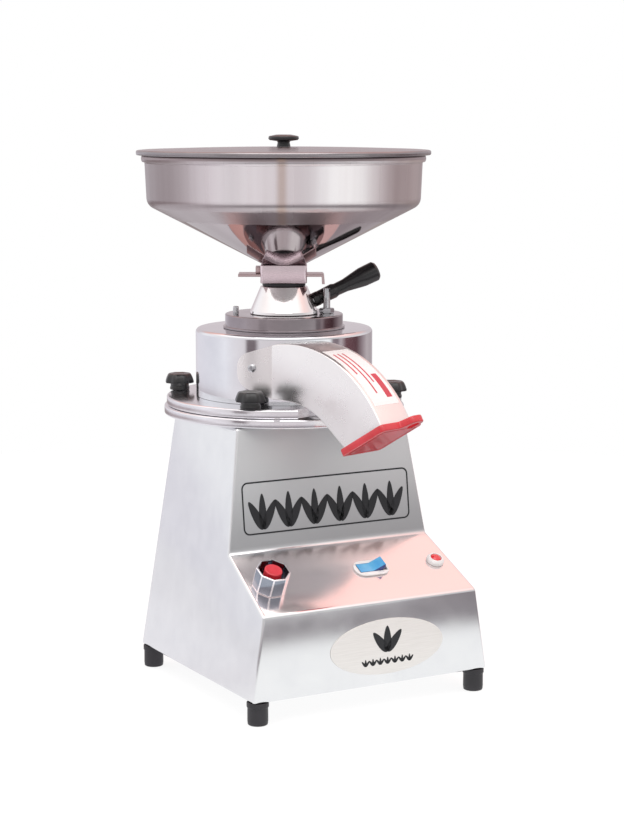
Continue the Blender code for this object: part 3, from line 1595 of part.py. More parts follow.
def screw_piece(name, side, finish, parent, radius=SCREW_RADIUS, shank_only=False):
    """A pan-head screw through a spout tab into the drum, or its hole."""
    angle = seat_angle(side) - side * TAB_SCREW_ANGLE
    out = SPOUT_SEAT_RADIUS + SPOUT_SHEET
    foot_point = Vector((out * math.cos(angle), out * math.sin(angle), CHAMBER_TOP + TAB_SCREW_Z))
    matrix = Matrix.Translation(foot_point) @ Matrix.Rotation(angle, 4, "Z") @ Matrix.Rotation(
        math.pi / 2, 4, "Y"
    )
    if shank_only:
        return rod(name, radius, -CUT_MARGIN, CUT_MARGIN, finish, parent, TINY, matrix=matrix)
    points = [
        (0, -0.0045),
        (radius, -0.0045),
        (radius, GAP),
        (SCREW_HEAD_RADIUS, GAP),
        (SCREW_HEAD_RADIUS, SCREW_HEAD_HEIGHT, 0.0018),
        (0, SCREW_HEAD_HEIGHT),
    ]
    return lathe(name, points, finish, parent, SMALL, closed=False, matrix=matrix)


def outlet_cap(spout):
    """A moulded cap on the mouth: a plate with a socket for the duct's end, and a holed finger tab."""
    up = MOUTH_UP
    middle = (MOUTH_TOP + MOUTH_FLOOR) / 2 + Vector((0, SPOUT_WIDTH / 2, 0))
    across = Vector((0, 1, 0))
    axes = Matrix((across, up, across.cross(up))).transposed().to_4x4()
    matrix = Matrix.Translation(middle) @ axes
    near, far = -SPOUT_WIDTH / 2 - CAP_BORDER, SPOUT_WIDTH / 2 + CAP_FAR_BORDER
    height = MOUTH_HEIGHT / 2 + CAP_BORDER
    tab_outer, tab_top = far - CAP_TAB_INSET, height + CAP_TAB_REACH
    crest = tab_outer - CAP_TAB_TAPER
    outline = rounded(
        [
            (near, -height, CAP_CORNER),
            (far, -height, CAP_CORNER),
            (far, height, CAP_CORNER * 0.8),
            (tab_outer, height + 0.002, 0.002),
            (crest, tab_top, CAP_TAB_CREST * 0.48),
            (crest - CAP_TAB_CREST, tab_top, CAP_TAB_CREST * 0.48),
            (tab_outer - CAP_TAB_WIDTH, height, 0.003),
            (near, height, CAP_CORNER),
        ],
        4,
    )
    low = -CAP_SOCKET
    cap = prism("outlet_cap", outline, low, low + CAP_THICK, red_plastic(), spout, matrix=matrix)
    half_width_in, half_height_in = SPOUT_WIDTH / 2 + GAP, MOUTH_HEIGHT / 2 + GAP
    flare = CAP_SOCKET * 0.45
    skin = SPOUT_SHEET * 1.15 + 2 * GAP
    outer = rectangle(2 * half_width_in, 2 * half_height_in + flare, middle=(0, -flare / 2))
    inner = rectangle(2 * (half_width_in - skin), 2 * (half_height_in - skin))
    groove = prism("cap_groove", outer, low - 0.001, GAP, None, spout, matrix=matrix)
    core = prism("cap_groove_core", inner, low - 0.002, 0.001, None, spout, matrix=matrix)
    cut(groove, core)
    hole_at = matrix @ Matrix.Translation((crest - CAP_TAB_CREST / 2, height + 0.0025, 0))
    cut(
        cap,
        groove,
        rod(
            "cap_tab_hole",
            CAP_TAB_HOLE,
            low - CUT_MARGIN,
            low + CAP_THICK + CUT_MARGIN,
            None,
            spout,
            SMALL,
            matrix=hole_at,
        ),
    )


def bezel_skirt_outline(growth=0.0):
    wall = BEZEL_SKIRT_WALL + growth
    return rectangle(bezel_window()[0] + 2 * wall, bezel_window()[1] + 2 * wall, 0.002)


def bezel_window():
    """The rocker's window: clear of the key's ends as they swing."""
    swing = math.hypot(KEY_HALF_LENGTH, KEY_END_HEIGHT)
    return 2 * (swing + RUNNING_GAP), KEY_WIDTH + 2 * RUNNING_GAP


def console_controls(console):
    push_button(console)
    rocker_switch(console)
    lamp(console)


def push_button(console):
    """The overload reset: an eight-sided guard through the console, with a push button inside it."""
    where = {"location": (GUARD_X, GUARD_UP, 0)}
    turn = math.pi / 8
    guard = prism(
        "overload_guard",
        polygon(8, COLLAR_FLATS, turn),
        GAP,
        GUARD_HEIGHT,
        polished_steel(),
        console,
        **where,
    )
    inner = polygon(8, COLLAR_FLATS - 2 * COLLAR_WALL, turn)
    cut(
        guard,
        prism("guard_hollow", inner, GAP + GUARD_FLOOR, GUARD_HEIGHT + CUT_MARGIN, None, console, **where),
    )
    join(
        guard,
        rod(
            "guard_barrel",
            BARREL_RADIUS,
            -BARREL_DEPTH,
            GAP + GUARD_FLOOR / 2,
            None,
            console,
            SMALL,
            **where,
        ),
    )
    cut(
        guard,
        rod(
            "guard_bore",
            BARREL_BORE,
            -BARREL_DEPTH - CUT_MARGIN,
            GUARD_FLOOR + 0.004,
            None,
            console,
            SMALL,
            **where,
        ),
    )
    under_head = GAP + GUARD_FLOOR + BUTTON_TRAVEL + RUNNING_GAP
    top = GUARD_HEIGHT + BUTTON_PROUD
    lathe(
        "overload_button",
        [
            (0, -BARREL_DEPTH + BUTTON_TRAVEL),
            (BUTTON_STEM_RADIUS, -BARREL_DEPTH + BUTTON_TRAVEL),
            (BUTTON_STEM_RADIUS, under_head),
            (BUTTON_RADIUS, under_head),
            (BUTTON_RADIUS, top, 0.0015),
            (0, top),
        ],
        red_plastic(),
        console,
        SMALL,
        closed=False,
        **where,
    )


def rocker_switch(console):
    """The on-off switch: a rounded bezel with a skirt through the console, and a tilted rocker key."""
    where = {"location": (ROCKER_X, ROCKER_UP, 0)}
    bezel = prism(
        "rocker_bezel",
        rectangle(BEZEL_LENGTH, BEZEL_WIDTH, 0.009),
        GAP,
        BEZEL_THICK,
        white_plastic(),
        console,
        **where,
    )
    join(
        bezel,
        prism("bezel_skirt", bezel_skirt_outline(), -BEZEL_SKIRT, BEZEL_THICK / 2, None, console, **where),
    )
    window = rectangle(*bezel_window())
    cut(
        bezel,
        prism(
            "bezel_window", window, -BEZEL_SKIRT + SHEET, BEZEL_THICK + CUT_MARGIN, None, console, **where
        ),
    )
    side_view = [
        (-KEY_HALF_LENGTH, KEY_END_HEIGHT),
        (-KEY_HALF_LENGTH, KEY_END_HEIGHT - 0.0050),
        (-KEY_DEPTH, -KEY_DEPTH),
        (KEY_DEPTH, -KEY_DEPTH),
        (KEY_HALF_LENGTH, KEY_END_HEIGHT - 0.0050),
        (KEY_HALF_LENGTH, KEY_END_HEIGHT),
        (0, KEY_CENTRE_HEIGHT),
    ]
    pivot = Matrix.Translation((ROCKER_X, ROCKER_UP, 0)) @ Matrix.Rotation(-KEY_TILT, 4, "Y")
    upright = pivot @ Matrix.Rotation(math.pi / 2, 4, "X")
    prism("rocker_key", side_view, -KEY_WIDTH / 2, KEY_WIDTH / 2, blue_plastic(), console, matrix=upright)


def lamp(console):
    """The pilot lamp: a domed ring with a barrel through the console, and a lens in it."""
    where = {"location": (LAMP_X, LAMP_UP, 0)}
    barrel = LENS_RADIUS + GAP
    lathe(
        "lamp_bezel",
        [
            (LENS_RADIUS - 0.0015, -LAMP_BARREL_DEPTH),
            (barrel, -LAMP_BARREL_DEPTH),
            (barrel, GAP),
            (LAMP_RADIUS, GAP),
            (LAMP_RADIUS, LAMP_HEIGHT, 0.0035),
            (LENS_RADIUS, LAMP_HEIGHT - 0.0008),
            (LENS_RADIUS, 0.001),
            (LENS_RADIUS - 0.0015, 0.001),
        ],
        white_plastic(),
        console,
        SMALL,
        **where,
    )
    lens = LENS_RADIUS - GAP
    points = [(0, 0.001 + GAP), (lens, 0.001 + GAP), (lens, LAMP_HEIGHT, 0.0012), (0, LAMP_HEIGHT + 0.0006)]
    lathe("lamp_lens", points, red_lens(), console, SMALL, closed=False, **where)


def build():
    clear_scene()
    mill = empty("mill", location=(0, SPINDLE_Y, 0))
    slope = math.atan2(CREASE_Z - APRON_Z, APRON_TOP_REACH - CREASE_REACH)
    console = empty("console", mill, (0, -APRON_TOP_REACH, APRON_Z), (slope, 0, 0))
    spout = empty("spout", mill, SPOUT_ROOT, (0, 0, SPOUT_TURN - math.pi / 2))
    turned = empty("turned_gate", mill, rotation=(0, 0, GATE_TURN))
    housing_shell(mill, console)
    floor_plate(mill)
    feet(mill)
    gland_piece("cord_gland", black_plastic(), mill)
    motor(mill)
    deck(mill, spout)
    drum(mill, spout)
    cover_ring(mill)
    stones(mill)
    adjuster(mill)
    gate(turned)
    hopper(mill)
    lid(mill)
    spout_duct(mill, spout)
    outlet_cap(spout)
    console_controls(console)


build()
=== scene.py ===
"""Looks of a domestic flour mill: stainless housing, grinding drum, bent spout, funnel hopper and console.

Outlines are in millimetres. Each piece is shaped in its own frame, and its place is baked into its mesh.
"""

import json
import math

import bmesh
import bpy
from mathutils import Matrix, Vector

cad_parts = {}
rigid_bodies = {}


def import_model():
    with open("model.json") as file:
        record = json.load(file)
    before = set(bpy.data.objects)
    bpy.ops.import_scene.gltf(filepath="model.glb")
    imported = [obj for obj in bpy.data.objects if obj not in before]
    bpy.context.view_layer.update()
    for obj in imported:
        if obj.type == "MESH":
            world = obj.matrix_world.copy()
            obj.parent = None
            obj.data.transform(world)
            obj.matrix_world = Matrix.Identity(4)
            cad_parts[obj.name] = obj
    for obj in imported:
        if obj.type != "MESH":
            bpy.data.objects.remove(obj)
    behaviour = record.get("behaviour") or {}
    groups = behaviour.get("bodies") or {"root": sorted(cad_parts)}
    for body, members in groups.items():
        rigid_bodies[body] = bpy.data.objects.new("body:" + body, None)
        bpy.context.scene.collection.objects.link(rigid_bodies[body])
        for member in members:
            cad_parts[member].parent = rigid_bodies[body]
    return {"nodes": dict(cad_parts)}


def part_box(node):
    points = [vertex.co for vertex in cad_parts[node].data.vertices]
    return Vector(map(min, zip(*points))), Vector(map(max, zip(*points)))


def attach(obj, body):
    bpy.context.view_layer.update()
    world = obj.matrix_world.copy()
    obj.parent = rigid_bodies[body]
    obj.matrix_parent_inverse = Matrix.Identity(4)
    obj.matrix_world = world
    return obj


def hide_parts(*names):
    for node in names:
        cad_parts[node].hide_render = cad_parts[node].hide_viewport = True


bl_info = {
    "name": "Domestic flour mill",
    "version": (1, 0, 0),
    "blender": (4, 5, 0),
    "location": "3D View > Sidebar > Flour mill",
    "description": "Builds the detailed looks of a domestic flour mill round its plain solids",
    "category": "Add Mesh",
}

for leftover in list(bpy.data.objects):
    bpy.data.objects.remove(leftover)
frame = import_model()

# Places, from the solids
MM = 0.001


def middle(node):
    low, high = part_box(node)
    return (low + high) / 2


def floor_of(node):
    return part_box(node)[0].z / MM


def top_of(node):
    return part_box(node)[1].z / MM


def placed(x=0.0, y=0.0, z=0.0):
    return Matrix.Translation((x * MM, y * MM, z * MM))


def turned(degrees, axis):
    return Matrix.Rotation(math.radians(degrees), 4, axis)


def upright_at(node):
    """The frame of an upright piece, at the floor below its middle."""
    return Matrix.Translation((*middle(node).xy, 0))


SPINDLE_Y = middle("motor_shaft").y / MM
DECK = floor_of("deck_plate")
CHAMBER = floor_of("chamber_plate")
PLATE = top_of("chamber_plate")
DRUM = floor_of("grinding_drum")
DRUM_TOP = top_of("grinding_drum")
RING_TOP = top_of("cover_ring")
NECK = floor_of("adjuster_neck")
NECK_TOP = top_of("adjuster_neck")
GASKET = floor_of("neck_gasket")
GATE = GASKET + 4.8
HOPPER = GATE + 22.3
LID = HOPPER + 133.3
LID_KNOB = floor_of("lid_knob")

# Frames of the pieces
MILL = placed(0, SPINDLE_Y)
CONSOLE = MILL @ placed(0, -218, 127) @ Matrix.Rotation(math.atan2(52, 102), 4, "X")
GATE_FRAME = MILL @ turned(-29, "Z")
GUARD = CONSOLE @ placed(-113.3, 50.2)
ROCKER = CONSOLE @ placed(28.5, 59)
LAMP = CONSOLE @ placed(118.8, 58.5)
SPOUT_SEAT = 111.0
SPOUT_TURN = math.radians(35.8)
SPOUT_CORNER = placed(-SPOUT_SEAT * math.sin(SPOUT_TURN), -SPOUT_SEAT * math.cos(SPOUT_TURN))
SPOUT = MILL @ SPOUT_CORNER @ turned(-73, "Z")


# Colour and node helpers


def srgb(code):
    """A linear colour from an sRGB code such as "8FA0B0"."""
    parts = [int(code[i : i + 2], 16) / 255 for i in (0, 2, 4)]
    return [p / 12.92 if p <= 0.04045 else ((p + 0.055) / 1.055) ** 2.4 for p in parts] + [1.0]


def tone(colour):
    """A material's colour, from an sRGB code or a setting."""
    return srgb(colour) if isinstance(colour, str) else [*colour, 1.0]


def deeper(colour, amount):
    """A darker and stronger tone of a setting's colour."""
    return [part * (1 - amount * (1 - part)) for part in colour]


def feed(tree, made, inputs):
    """Sets a node's inputs. Each is a constant, or an output socket to link from."""
    for key, value in inputs.items():
        if isinstance(value, bpy.types.NodeSocket):
            tree.links.new(value, made.inputs[key])
        else:
            made.inputs[key].default_value = value


def node(tree, kind, inputs=None, **options):
    """Adds a node with its options and inputs."""
    made = tree.nodes.new(kind)
    for key, value in options.items():
        setattr(made, key, value)
    feed(tree, made, inputs or {})
    return made


def ramp(tree, value, stops):
    """A colour ramp's output over (position, colour) stops."""
    made = node(tree, "ShaderNodeValToRGB", {"Fac": value})
    elements = made.color_ramp.elements
    while len(elements) < len(stops):
        elements.new(0.5)
    for element, (position, colour) in zip(elements, stops):
        element.position = position
        element.color = colour
    return made.outputs["Color"]


def math_node(tree, operation, first, second=0.0, third=0.0):
    return node(tree, "ShaderNodeMath", {0: first, 1: second, 2: third}, operation=operation).outputs[0]


def times(tree, first, second):
    return math_node(tree, "MULTIPLY", first, second)


def vector_node(tree, operation, first, second=(0.0, 0.0, 0.0)):
    made = node(tree, "ShaderNodeVectorMath", {0: first, 1: second}, operation=operation)
    return made.outputs["Value" if operation == "LENGTH" else "Vector"]


def separate(tree, vector):
    return node(tree, "ShaderNodeSeparateXYZ", {0: vector}).outputs


def start_material(name):
    """An empty material with a shader, its output and object coordinates."""
    made = bpy.data.materials.new(name)
    made.use_nodes = True
    tree = made.node_tree
    tree.nodes.clear()
    shader = node(tree, "ShaderNodeBsdfPrincipled")
    node(tree, "ShaderNodeOutputMaterial", {"Surface": shader.outputs[0]})
    spot = node(tree, "ShaderNodeTexCoord").outputs["Object"]
    return made, tree, shader, spot


def noise(tree, vector, scale, detail, roughness=0.55):
    inputs = {"Vector": vector, "Scale": scale, "Detail": detail, "Roughness": roughness}
    return node(tree, "ShaderNodeTexNoise", inputs).outputs["Fac"]


def stretched_noise(tree, spot, scales, detail):
    """Noise with its own scale per metre along each axis."""
    return noise(tree, vector_node(tree, "MULTIPLY", spot, scales), 1.0, detail)


def about_spindle(tree, spot):
    return vector_node(tree, "SUBTRACT", spot, (0, SPINDLE_Y * MM, 0))


def round_spindle(tree, spot, round_scale, height_scale, radius_scale):
    """Coordinates round the spindle, up it and out from it, each with its own scale per metre."""
    local = about_spindle(tree, spot)
    flat = vector_node(tree, "MULTIPLY", local, (1, 1, 0))
    out = times(tree, vector_node(tree, "LENGTH", flat), radius_scale)
    up = math_node(tree, "MULTIPLY_ADD", separate(tree, local)["Z"], height_scale, out)
    ring = vector_node(tree, "MULTIPLY", vector_node(tree, "NORMALIZE", flat), (round_scale,) * 3)
    return vector_node(tree, "ADD", ring, node(tree, "ShaderNodeCombineXYZ", {"Z": up}).outputs[0])


def vary(tree, value, base, spread):
    """Base, moved up and down by a 0 to 1 value."""
    return math_node(tree, "MULTIPLY_ADD", value, 2 * spread, base - spread)


def tint(tree, value, dark, light):
    return ramp(tree, value, [(0.3, tone(dark)), (0.7, tone(light))])


def bump(tree, height, millimetres, normal=None):
    inputs = {"Height": height, "Distance": millimetres * MM, "Strength": 1.0}
    if normal:
        inputs["Normal"] = normal
    return node(tree, "ShaderNodeBump", inputs).outputs[0]


def blend(tree, factor, first, second, kind="MIX"):
    inputs = {"Factor": factor, 6: first, 7: second}
    return node(tree, "ShaderNodeMix", inputs, data_type="RGBA", blend_type=kind).outputs[2]


def rise(tree, value, low, high):
    """0 at the low value, 1 at the high one, and smooth between them."""
    limits = {"Value": value, "From Min": low, "From Max": high}
    return node(tree, "ShaderNodeMapRange", limits, interpolation_type="SMOOTHSTEP").outputs[0]


def band(tree, x, y, stops):
    """A colour by direction round the mill."""
    turn = math_node(tree, "ARCTAN2", x, times(tree, y, -1.0))
    turn = math_node(tree, "MULTIPLY_ADD", turn, 1 / math.tau, 0.5)
    return ramp(tree, turn, [((degrees + 180) / 360, srgb(code)) for degrees, code in stops])


# Materials


def front_painted_reflection_and_matt(tree, spot, colour, worn, matt):
    """The housing's front: a matt tower with a painted grey reflection, darker towards the bottom, over a
    console with a faint painted pink reflection.
    """
    _, y, z = separate(tree, spot)
    facing = separate(tree, node(tree, "ShaderNodeTexCoord").outputs["Normal"])["X"]
    ahead = rise(tree, y, (SPINDLE_Y - 95) * MM, (SPINDLE_Y - 98) * MM)
    ahead = times(tree, math_node(tree, "LESS_THAN", math_node(tree, "ABSOLUTE", facing), 0.5), ahead)
    tower = times(tree, ahead, rise(tree, z, 0.176, 0.186))
    console = times(tree, rise(tree, z, 0.126, 0.13), rise(tree, z, 0.178, 0.174))
    # Painted reflection: a grey tone on the tower's front, darker towards the bottom
    grey = blend(tree, rise(tree, z, 0.18, 0.29), srgb("B2B4B6"), srgb("D4D6D7"))
    colour = blend(tree, tower, colour, grey)
    # Painted reflection: a faint pink tone on the console's front
    colour = blend(tree, times(tree, console, ahead), colour, srgb("FAF1F0"))
    return colour, math_node(tree, "MULTIPLY_ADD", tower, matt, worn)


def sheet_steel(name, dark, light, roughness, wave, grain=(300, 300, 9), matt_front_and_painted_reflection=0.0):
    """Polished stainless sheet: a faint straight grain, slow waves, smudges and hairlines."""
    made, tree, shader, spot = start_material(name)
    smudge = noise(tree, spot, 26, 5, 0.6)
    scratch = math_node(tree, "SUBTRACT", stretched_noise(tree, spot, (70, 900, 260), 2), 0.66)
    fine = math_node(tree, "SMOOTH_MAX", scratch, 0.0, 0.02)
    colour = tint(tree, smudge, dark, light)
    worn = vary(tree, smudge, roughness, roughness * 0.35)
    worn = math_node(tree, "ADD", worn, times(tree, fine, 0.15))
    # On the housing's front the colour carries painted reflections: grey on the tower and faint pink on the
    # console
    if matt_front_and_painted_reflection:
        colour, worn = front_painted_reflection_and_matt(tree, spot, colour, worn, matt_front_and_painted_reflection)
    slow = bump(tree, noise(tree, spot, 11, 1), wave)
    normal = bump(tree, stretched_noise(tree, spot, grain, 4), 0.006, slow)
    feed(tree, shader, {"Base Color": colour, "Roughness": worn, "Metallic": 1, "Normal": normal})
    return made


def turned_steel(name, dark, light, roughness, height_scale, radius_scale, depth=0.008):
    """Metal turned on a lathe round the spindle: rings of fine tool marks."""
    made, tree, shader, spot = start_material(name)
    rings = noise(tree, round_spindle(tree, spot, 1.2, height_scale, radius_scale), 1.0, 4)
    smudge = noise(tree, spot, 30, 4, 0.6)
    worn = vary(tree, rings, roughness, roughness * 0.4)
    worn = math_node(tree, "ADD", worn, vary(tree, smudge, 0, 0.02))
    colour, normal = tint(tree, smudge, dark, light), bump(tree, rings, depth)
    feed(tree, shader, {"Base Color": colour, "Roughness": worn, "Metallic": 1, "Normal": normal})
    return made


# The hopper's welded seam, and painted reflections and highlights in bands round its side
SEAM_SIDE = math.radians(-29)
# Painted reflections and highlights: the satin's colour by direction round the hopper
HOPPER_PAINTED_REFLECTIONS = [
    (-180, "B4ABAA"), (-108, "9F9594"), (-80, "AEA5A6"), (-58, "E3DEE0"), (-46, "F7F4F5"), (-22, "E9E5E6"),
    (4, "FFFDFD"), (20, "EEE9E9"), (40, "D9D1D0"), (62, "BFB5B3"), (180, "B4ABAA"),
]


def hopper_painted_light_and_stain(tree, x, y, z, mottle, stain):
    """Painted reflections and highlights in bands round the hopper, painted shade on its cone and rolled
    rim, and a stain along the seam.
    """
    # Painted reflections and highlights by direction round the side
    colour = band(tree, x, y, HOPPER_PAINTED_REFLECTIONS)
    # Painted shade: the cone, which faces down, is darker
    cone = rise(tree, z, (HOPPER + 84.0) * MM, (HOPPER + 74.0) * MM)
    colour = blend(tree, times(tree, cone, 0.75), colour, srgb("A79EA0"))
    colour = blend(tree, 1.0, colour, tint(tree, mottle, "F4F2F2", "FFFFFF"), "MULTIPLY")
    # Painted shade: a darker band at the rolled rim
    rim = rise(tree, z, (HOPPER + 128.0) * MM, (HOPPER + 129.5) * MM)
    colour = blend(tree, rim, colour, srgb("9C8F91"))
    return blend(tree, times(tree, stain, 0.5), colour, srgb("B59A86"))


def hopper_steel():
    """Satin with upright brush marks down to a ring on the cone, polished below it, and one welded seam."""
    made, tree, shader, spot = start_material("hopper_satin_steel")
    brushed = noise(tree, round_spindle(tree, spot, 210, 2.5, 2.5), 1.0, 5, 0.7)
    broad = noise(tree, round_spindle(tree, spot, 9, 1.5, 1.5), 1.0, 2)
    x, y, z = separate(tree, about_spindle(tree, spot))
    satin = rise(tree, z, (HOPPER + 54.0) * MM, (HOPPER + 55.2) * MM)
    across = math_node(tree, "MULTIPLY_ADD", y, math.sin(SEAM_SIDE), times(tree, x, math.cos(SEAM_SIDE)))
    ahead = times(tree, math_node(tree, "LESS_THAN", y, 0.0), satin)
    seam = times(tree, math_node(tree, "COMPARE", across, 0.0, 0.0011), ahead)
    stain = times(tree, rise(tree, math_node(tree, "ABSOLUTE", across), 0.009, 0.001), ahead)
    rough = math_node(tree, "SUBTRACT", vary(tree, brushed, 0.30, 0.09), 0.06)
    rough = math_node(tree, "MULTIPLY_ADD", satin, rough, 0.06)
    lift = math_node(tree, "MULTIPLY_ADD", seam, 1.5, times(tree, brushed, satin))
    # The colour carries painted reflections, highlights and shade, with a stain along the seam
    colour, normal = hopper_painted_light_and_stain(tree, x, y, z, broad, stain), bump(tree, lift, 0.012)
    feed(tree, shader, {"Base Color": colour, "Roughness": rough, "Metallic": 1, "Normal": normal})
    return made


def moulded(name, dark, light, roughness, grain=0.02, coat=0.0):
    """Moulded plastic or rubber: a fine pebbled skin, flow marks and slight wear."""
    made, tree, shader, spot = start_material(name)
    flow = noise(tree, spot, 45, 4, 0.6)
    inputs = {
        "Base Color": tint(tree, flow, dark, light),
        "Roughness": vary(tree, flow, roughness, roughness * 0.2),
        "Coat Weight": coat,
        "Coat Roughness": 0.08,
        "Normal": bump(tree, noise(tree, spot, 1500, 3), grain),
    }
    feed(tree, shader, inputs)
    return made


def lens(name, colour):
    """A clear coloured lens with faint moulded facets."""
    made, tree, shader, spot = start_material(name)
    facets = node(tree, "ShaderNodeTexVoronoi", {"Vector": spot, "Scale": 900.0}).outputs["Distance"]
    inputs = {
        "Base Color": tone(colour),
        "Roughness": 0.06,
        "Coat Weight": 1,
        "Subsurface Weight": 0.25,
        "Subsurface Scale": 2 * MM,
        "Normal": bump(tree, facets, 0.08),
    }
    feed(tree, shader, inputs)
    return made


def cast_metal(name, dark, light, roughness, metallic=1.0):
    """Cast, machined or painted metal: a pitted skin over a slow mottle."""
    made, tree, shader, spot = start_material(name)
    pits = noise(tree, spot, 900, 4, 0.65)
    inputs = {
        "Base Color": tint(tree, noise(tree, spot, 60, 4), dark, light),
        "Roughness": vary(tree, pits, roughness, 0.1),
        "Metallic": metallic,
        "Normal": bump(tree, pits, 0.05),
    }
    feed(tree, shader, inputs)
    return made


def stone():
    """Dressed millstone: coarse pale and dark grit in a grey binder."""
    made, tree, shader, spot = start_material("dressed_stone")
    grit = node(tree, "ShaderNodeTexVoronoi", {"Vector": spot, "Scale": 620.0}).outputs["Distance"]
    mottle = noise(tree, spot, 180, 6, 0.7)
    colour = ramp(tree, mottle, [(0.3, srgb("6E675C")), (0.5, srgb("9A9286")), (0.68, srgb("C9C1B2"))])
    normal = bump(tree, math_node(tree, "MULTIPLY_ADD", mottle, 0.6, grit), 0.35)
    feed(tree, shader, {"Base Color": colour, "Roughness": 0.9, "Normal": normal})
    return made


def wound_copper():
    """Lacquered copper windings, turn upon turn round the spindle."""
    made, tree, shader, spot = start_material("wound_copper")
    turns = noise(tree, round_spindle(tree, spot, 160, 500, 900), 1.0, 3)
    colour = ramp(tree, turns, [(0.35, srgb("5A2A14")), (0.6, srgb("B5652F"))])
    normal = bump(tree, turns, 0.25)
    feed(tree, shader, {"Base Color": colour, "Roughness": 0.4, "Metallic": 0.8, "Normal": normal})
    return made


def satin_plate(name, dark, light, roughness=0.4):
    """A thin satin plate or label: nearly white, with a fine straight grain."""
    made, tree, shader, spot = start_material(name)
    lines = stretched_noise(tree, spot, (35, 35, 1600), 3)
    colour, worn = tint(tree, lines, dark, light), vary(tree, lines, roughness, 0.06)
    normal = bump(tree, lines, 0.004)
    feed(tree, shader, {"Base Color": colour, "Roughness": worn, "Metallic": 0.15, "Normal": normal})
    return made


def make_finishes(colours):
    """Every material, by short name."""
    return {
        # The housing's sheet carries painted reflections on its front
        "sheet": sheet_steel("polished_sheet_steel", "DFE0E2", "E6E7E8", 0.17, 0.24, matt_front_and_painted_reflection=0.34),
        "spout": sheet_steel("spout_sheet_steel", "F1EEED", "F7F5F4", 0.28, 0.08, (24, 24, 3)),
        "plate": turned_steel("turned_plate_steel", "E3E2E5", "EBEAED", 0.15, 500, 900),
        "drum": turned_steel("drum_steel", "DEDFE3", "E6E7EA", 0.09, 700, 900, 0.004),
        "ring": turned_steel("ring_steel", "968D91", "A1989C", 0.09, 900, 900, 0.003),
        "guard": turned_steel("smoked_guard", "8A909C", "9AA0AB", 0.16, 900, 900, 0.003),
        # Painted highlight: a lighter copy of the guard's steel for its edges and inside
        "guard_painted_highlight": turned_steel("bright_edge_steel", "F0EEF2", "F7F5F8", 0.28, 900, 900, 0.003),
        "neck": turned_steel("neck_steel", "EAE6E6", "F2EFEF", 0.08, 700, 300, 0.004),
        "hopper": hopper_steel(),
        "lid": turned_steel("lid_steel", "928D90", "9D989A", 0.24, 300, 700, 0.006),
        "block": turned_steel("block_steel", "E0CFD4", "E9DADE", 0.26, 1200, 200, 0.006),
        "slide": sheet_steel("slide_steel", "BFA9A9", "CDB9B9", 0.30, 0.4, (50, 900, 900)),
        "screw": turned_steel("fastener_steel", "B9BABD", "C8C9CC", 0.22, 2500, 2500, 0.006),
        "plain": cast_metal("machined_steel", "9C9DA0", "ABACAF", 0.36),
        "cast": cast_metal("cast_aluminium", "A9ABAD", "BCBEC0", 0.48),
        "paint": cast_metal("motor_enamel", "23313C", "2D3D49", 0.45, 0.0),
        "copper": wound_copper(),
        "stone": stone(),
        "black": moulded("black_plastic", "0E0E10", "18181B", 0.33, 0.02, 0.25),
        "rubber": moulded("black_rubber", "1B1A1E", "29272C", 0.52, 0.05),
        "white": moulded("white_plastic", "E9E9E8", "F3F3F2", 0.28, 0.008, 0.5),
        "red": moulded("red_plastic", deeper(colours.cap, 0.48), colours.cap, 0.30, 0.012, 0.6),
        "button": moulded("button_red", deeper(colours.button, 0.7), colours.button, 0.34, 0.012, 0.4),
        "blue": moulded("rocker_blue", deeper(colours.key, 0.82), colours.key, 0.30, 0.008, 0.5),
        # Painted shade: a dark copy of the rocker key's blue for its sides and underside
        "blue_painted_shade": moulded("rocker_navy", "15307A", "1F3E92", 0.32, 0.008, 0.4),
        "lens": lens("lamp_red", colours.lamp),
        "badge": satin_plate("blank_badge_plate", "DEDCD8", "E9E7E4"),
        "label": satin_plate("blank_label", "F2F0EF", "F7F5F4", 0.5),
        "ink": moulded("printed_ink", deeper(colours.ink, 0.31), colours.ink, 0.45, 0.002),
        "red_ink": moulded("printed_red", deeper(colours.bars, 0.37), colours.bars, 0.45, 0.002),
    }


def finish_named(name):
    """A material by its short name, made with the others on first use."""
    scene = bpy.context.scene
    if "flour_mill_finishes" not in scene:
        made = make_finishes(scene.flour_mill_colours)
        scene["flour_mill_finishes"] = {key: value.name for key, value in made.items()}
    return bpy.data.materials[scene["flour_mill_finishes"][name]]


# Shape helpers


def fillet(points, flats=6):
    """An outline whose points may carry a radius as a third value."""
    outline = []
    for i, point in enumerate(points):
        here = Vector(point[:2])
        if len(point) == 2:
            outline.append(here)
            continue
        before = (Vector(points[i - 1][:2]) - here).normalized()
        after = (Vector(points[(i + 1) % len(points)][:2]) - here).normalized()
        half = before.angle(after) / 2
        centre = here + (before + after).normalized() * point[2] / math.sin(half)
        first = here + before * point[2] / math.tan(half) - centre
        sweep = first.angle_signed(here + after * point[2] / math.tan(half) - centre)
        for step in range(flats + 1):
            outline.append(centre + Matrix.Rotation(-sweep * step / flats, 2) @ first)
    return outline


def lathe(points, steps=144, closed=True, flats=6):
    """Spins an outline of (radius, height) about Z."""
    bm = bmesh.new()
    verts = [bm.verts.new((p[0] * MM, 0, p[1] * MM)) for p in fillet(points, flats)]
    edges = [bm.edges.new(pair) for pair in zip(verts, verts[1:])]
    if closed:
        edges.append(bm.edges.new((verts[-1], verts[0])))
    turn = {"cent": (0, 0, 0), "axis": (0, 0, 1), "angle": math.tau, "steps": steps, "use_merge": True}
    bmesh.ops.spin(bm, geom=verts + edges, **turn)
    bmesh.ops.remove_doubles(bm, verts=bm.verts, dist=1e-6)
    return bm


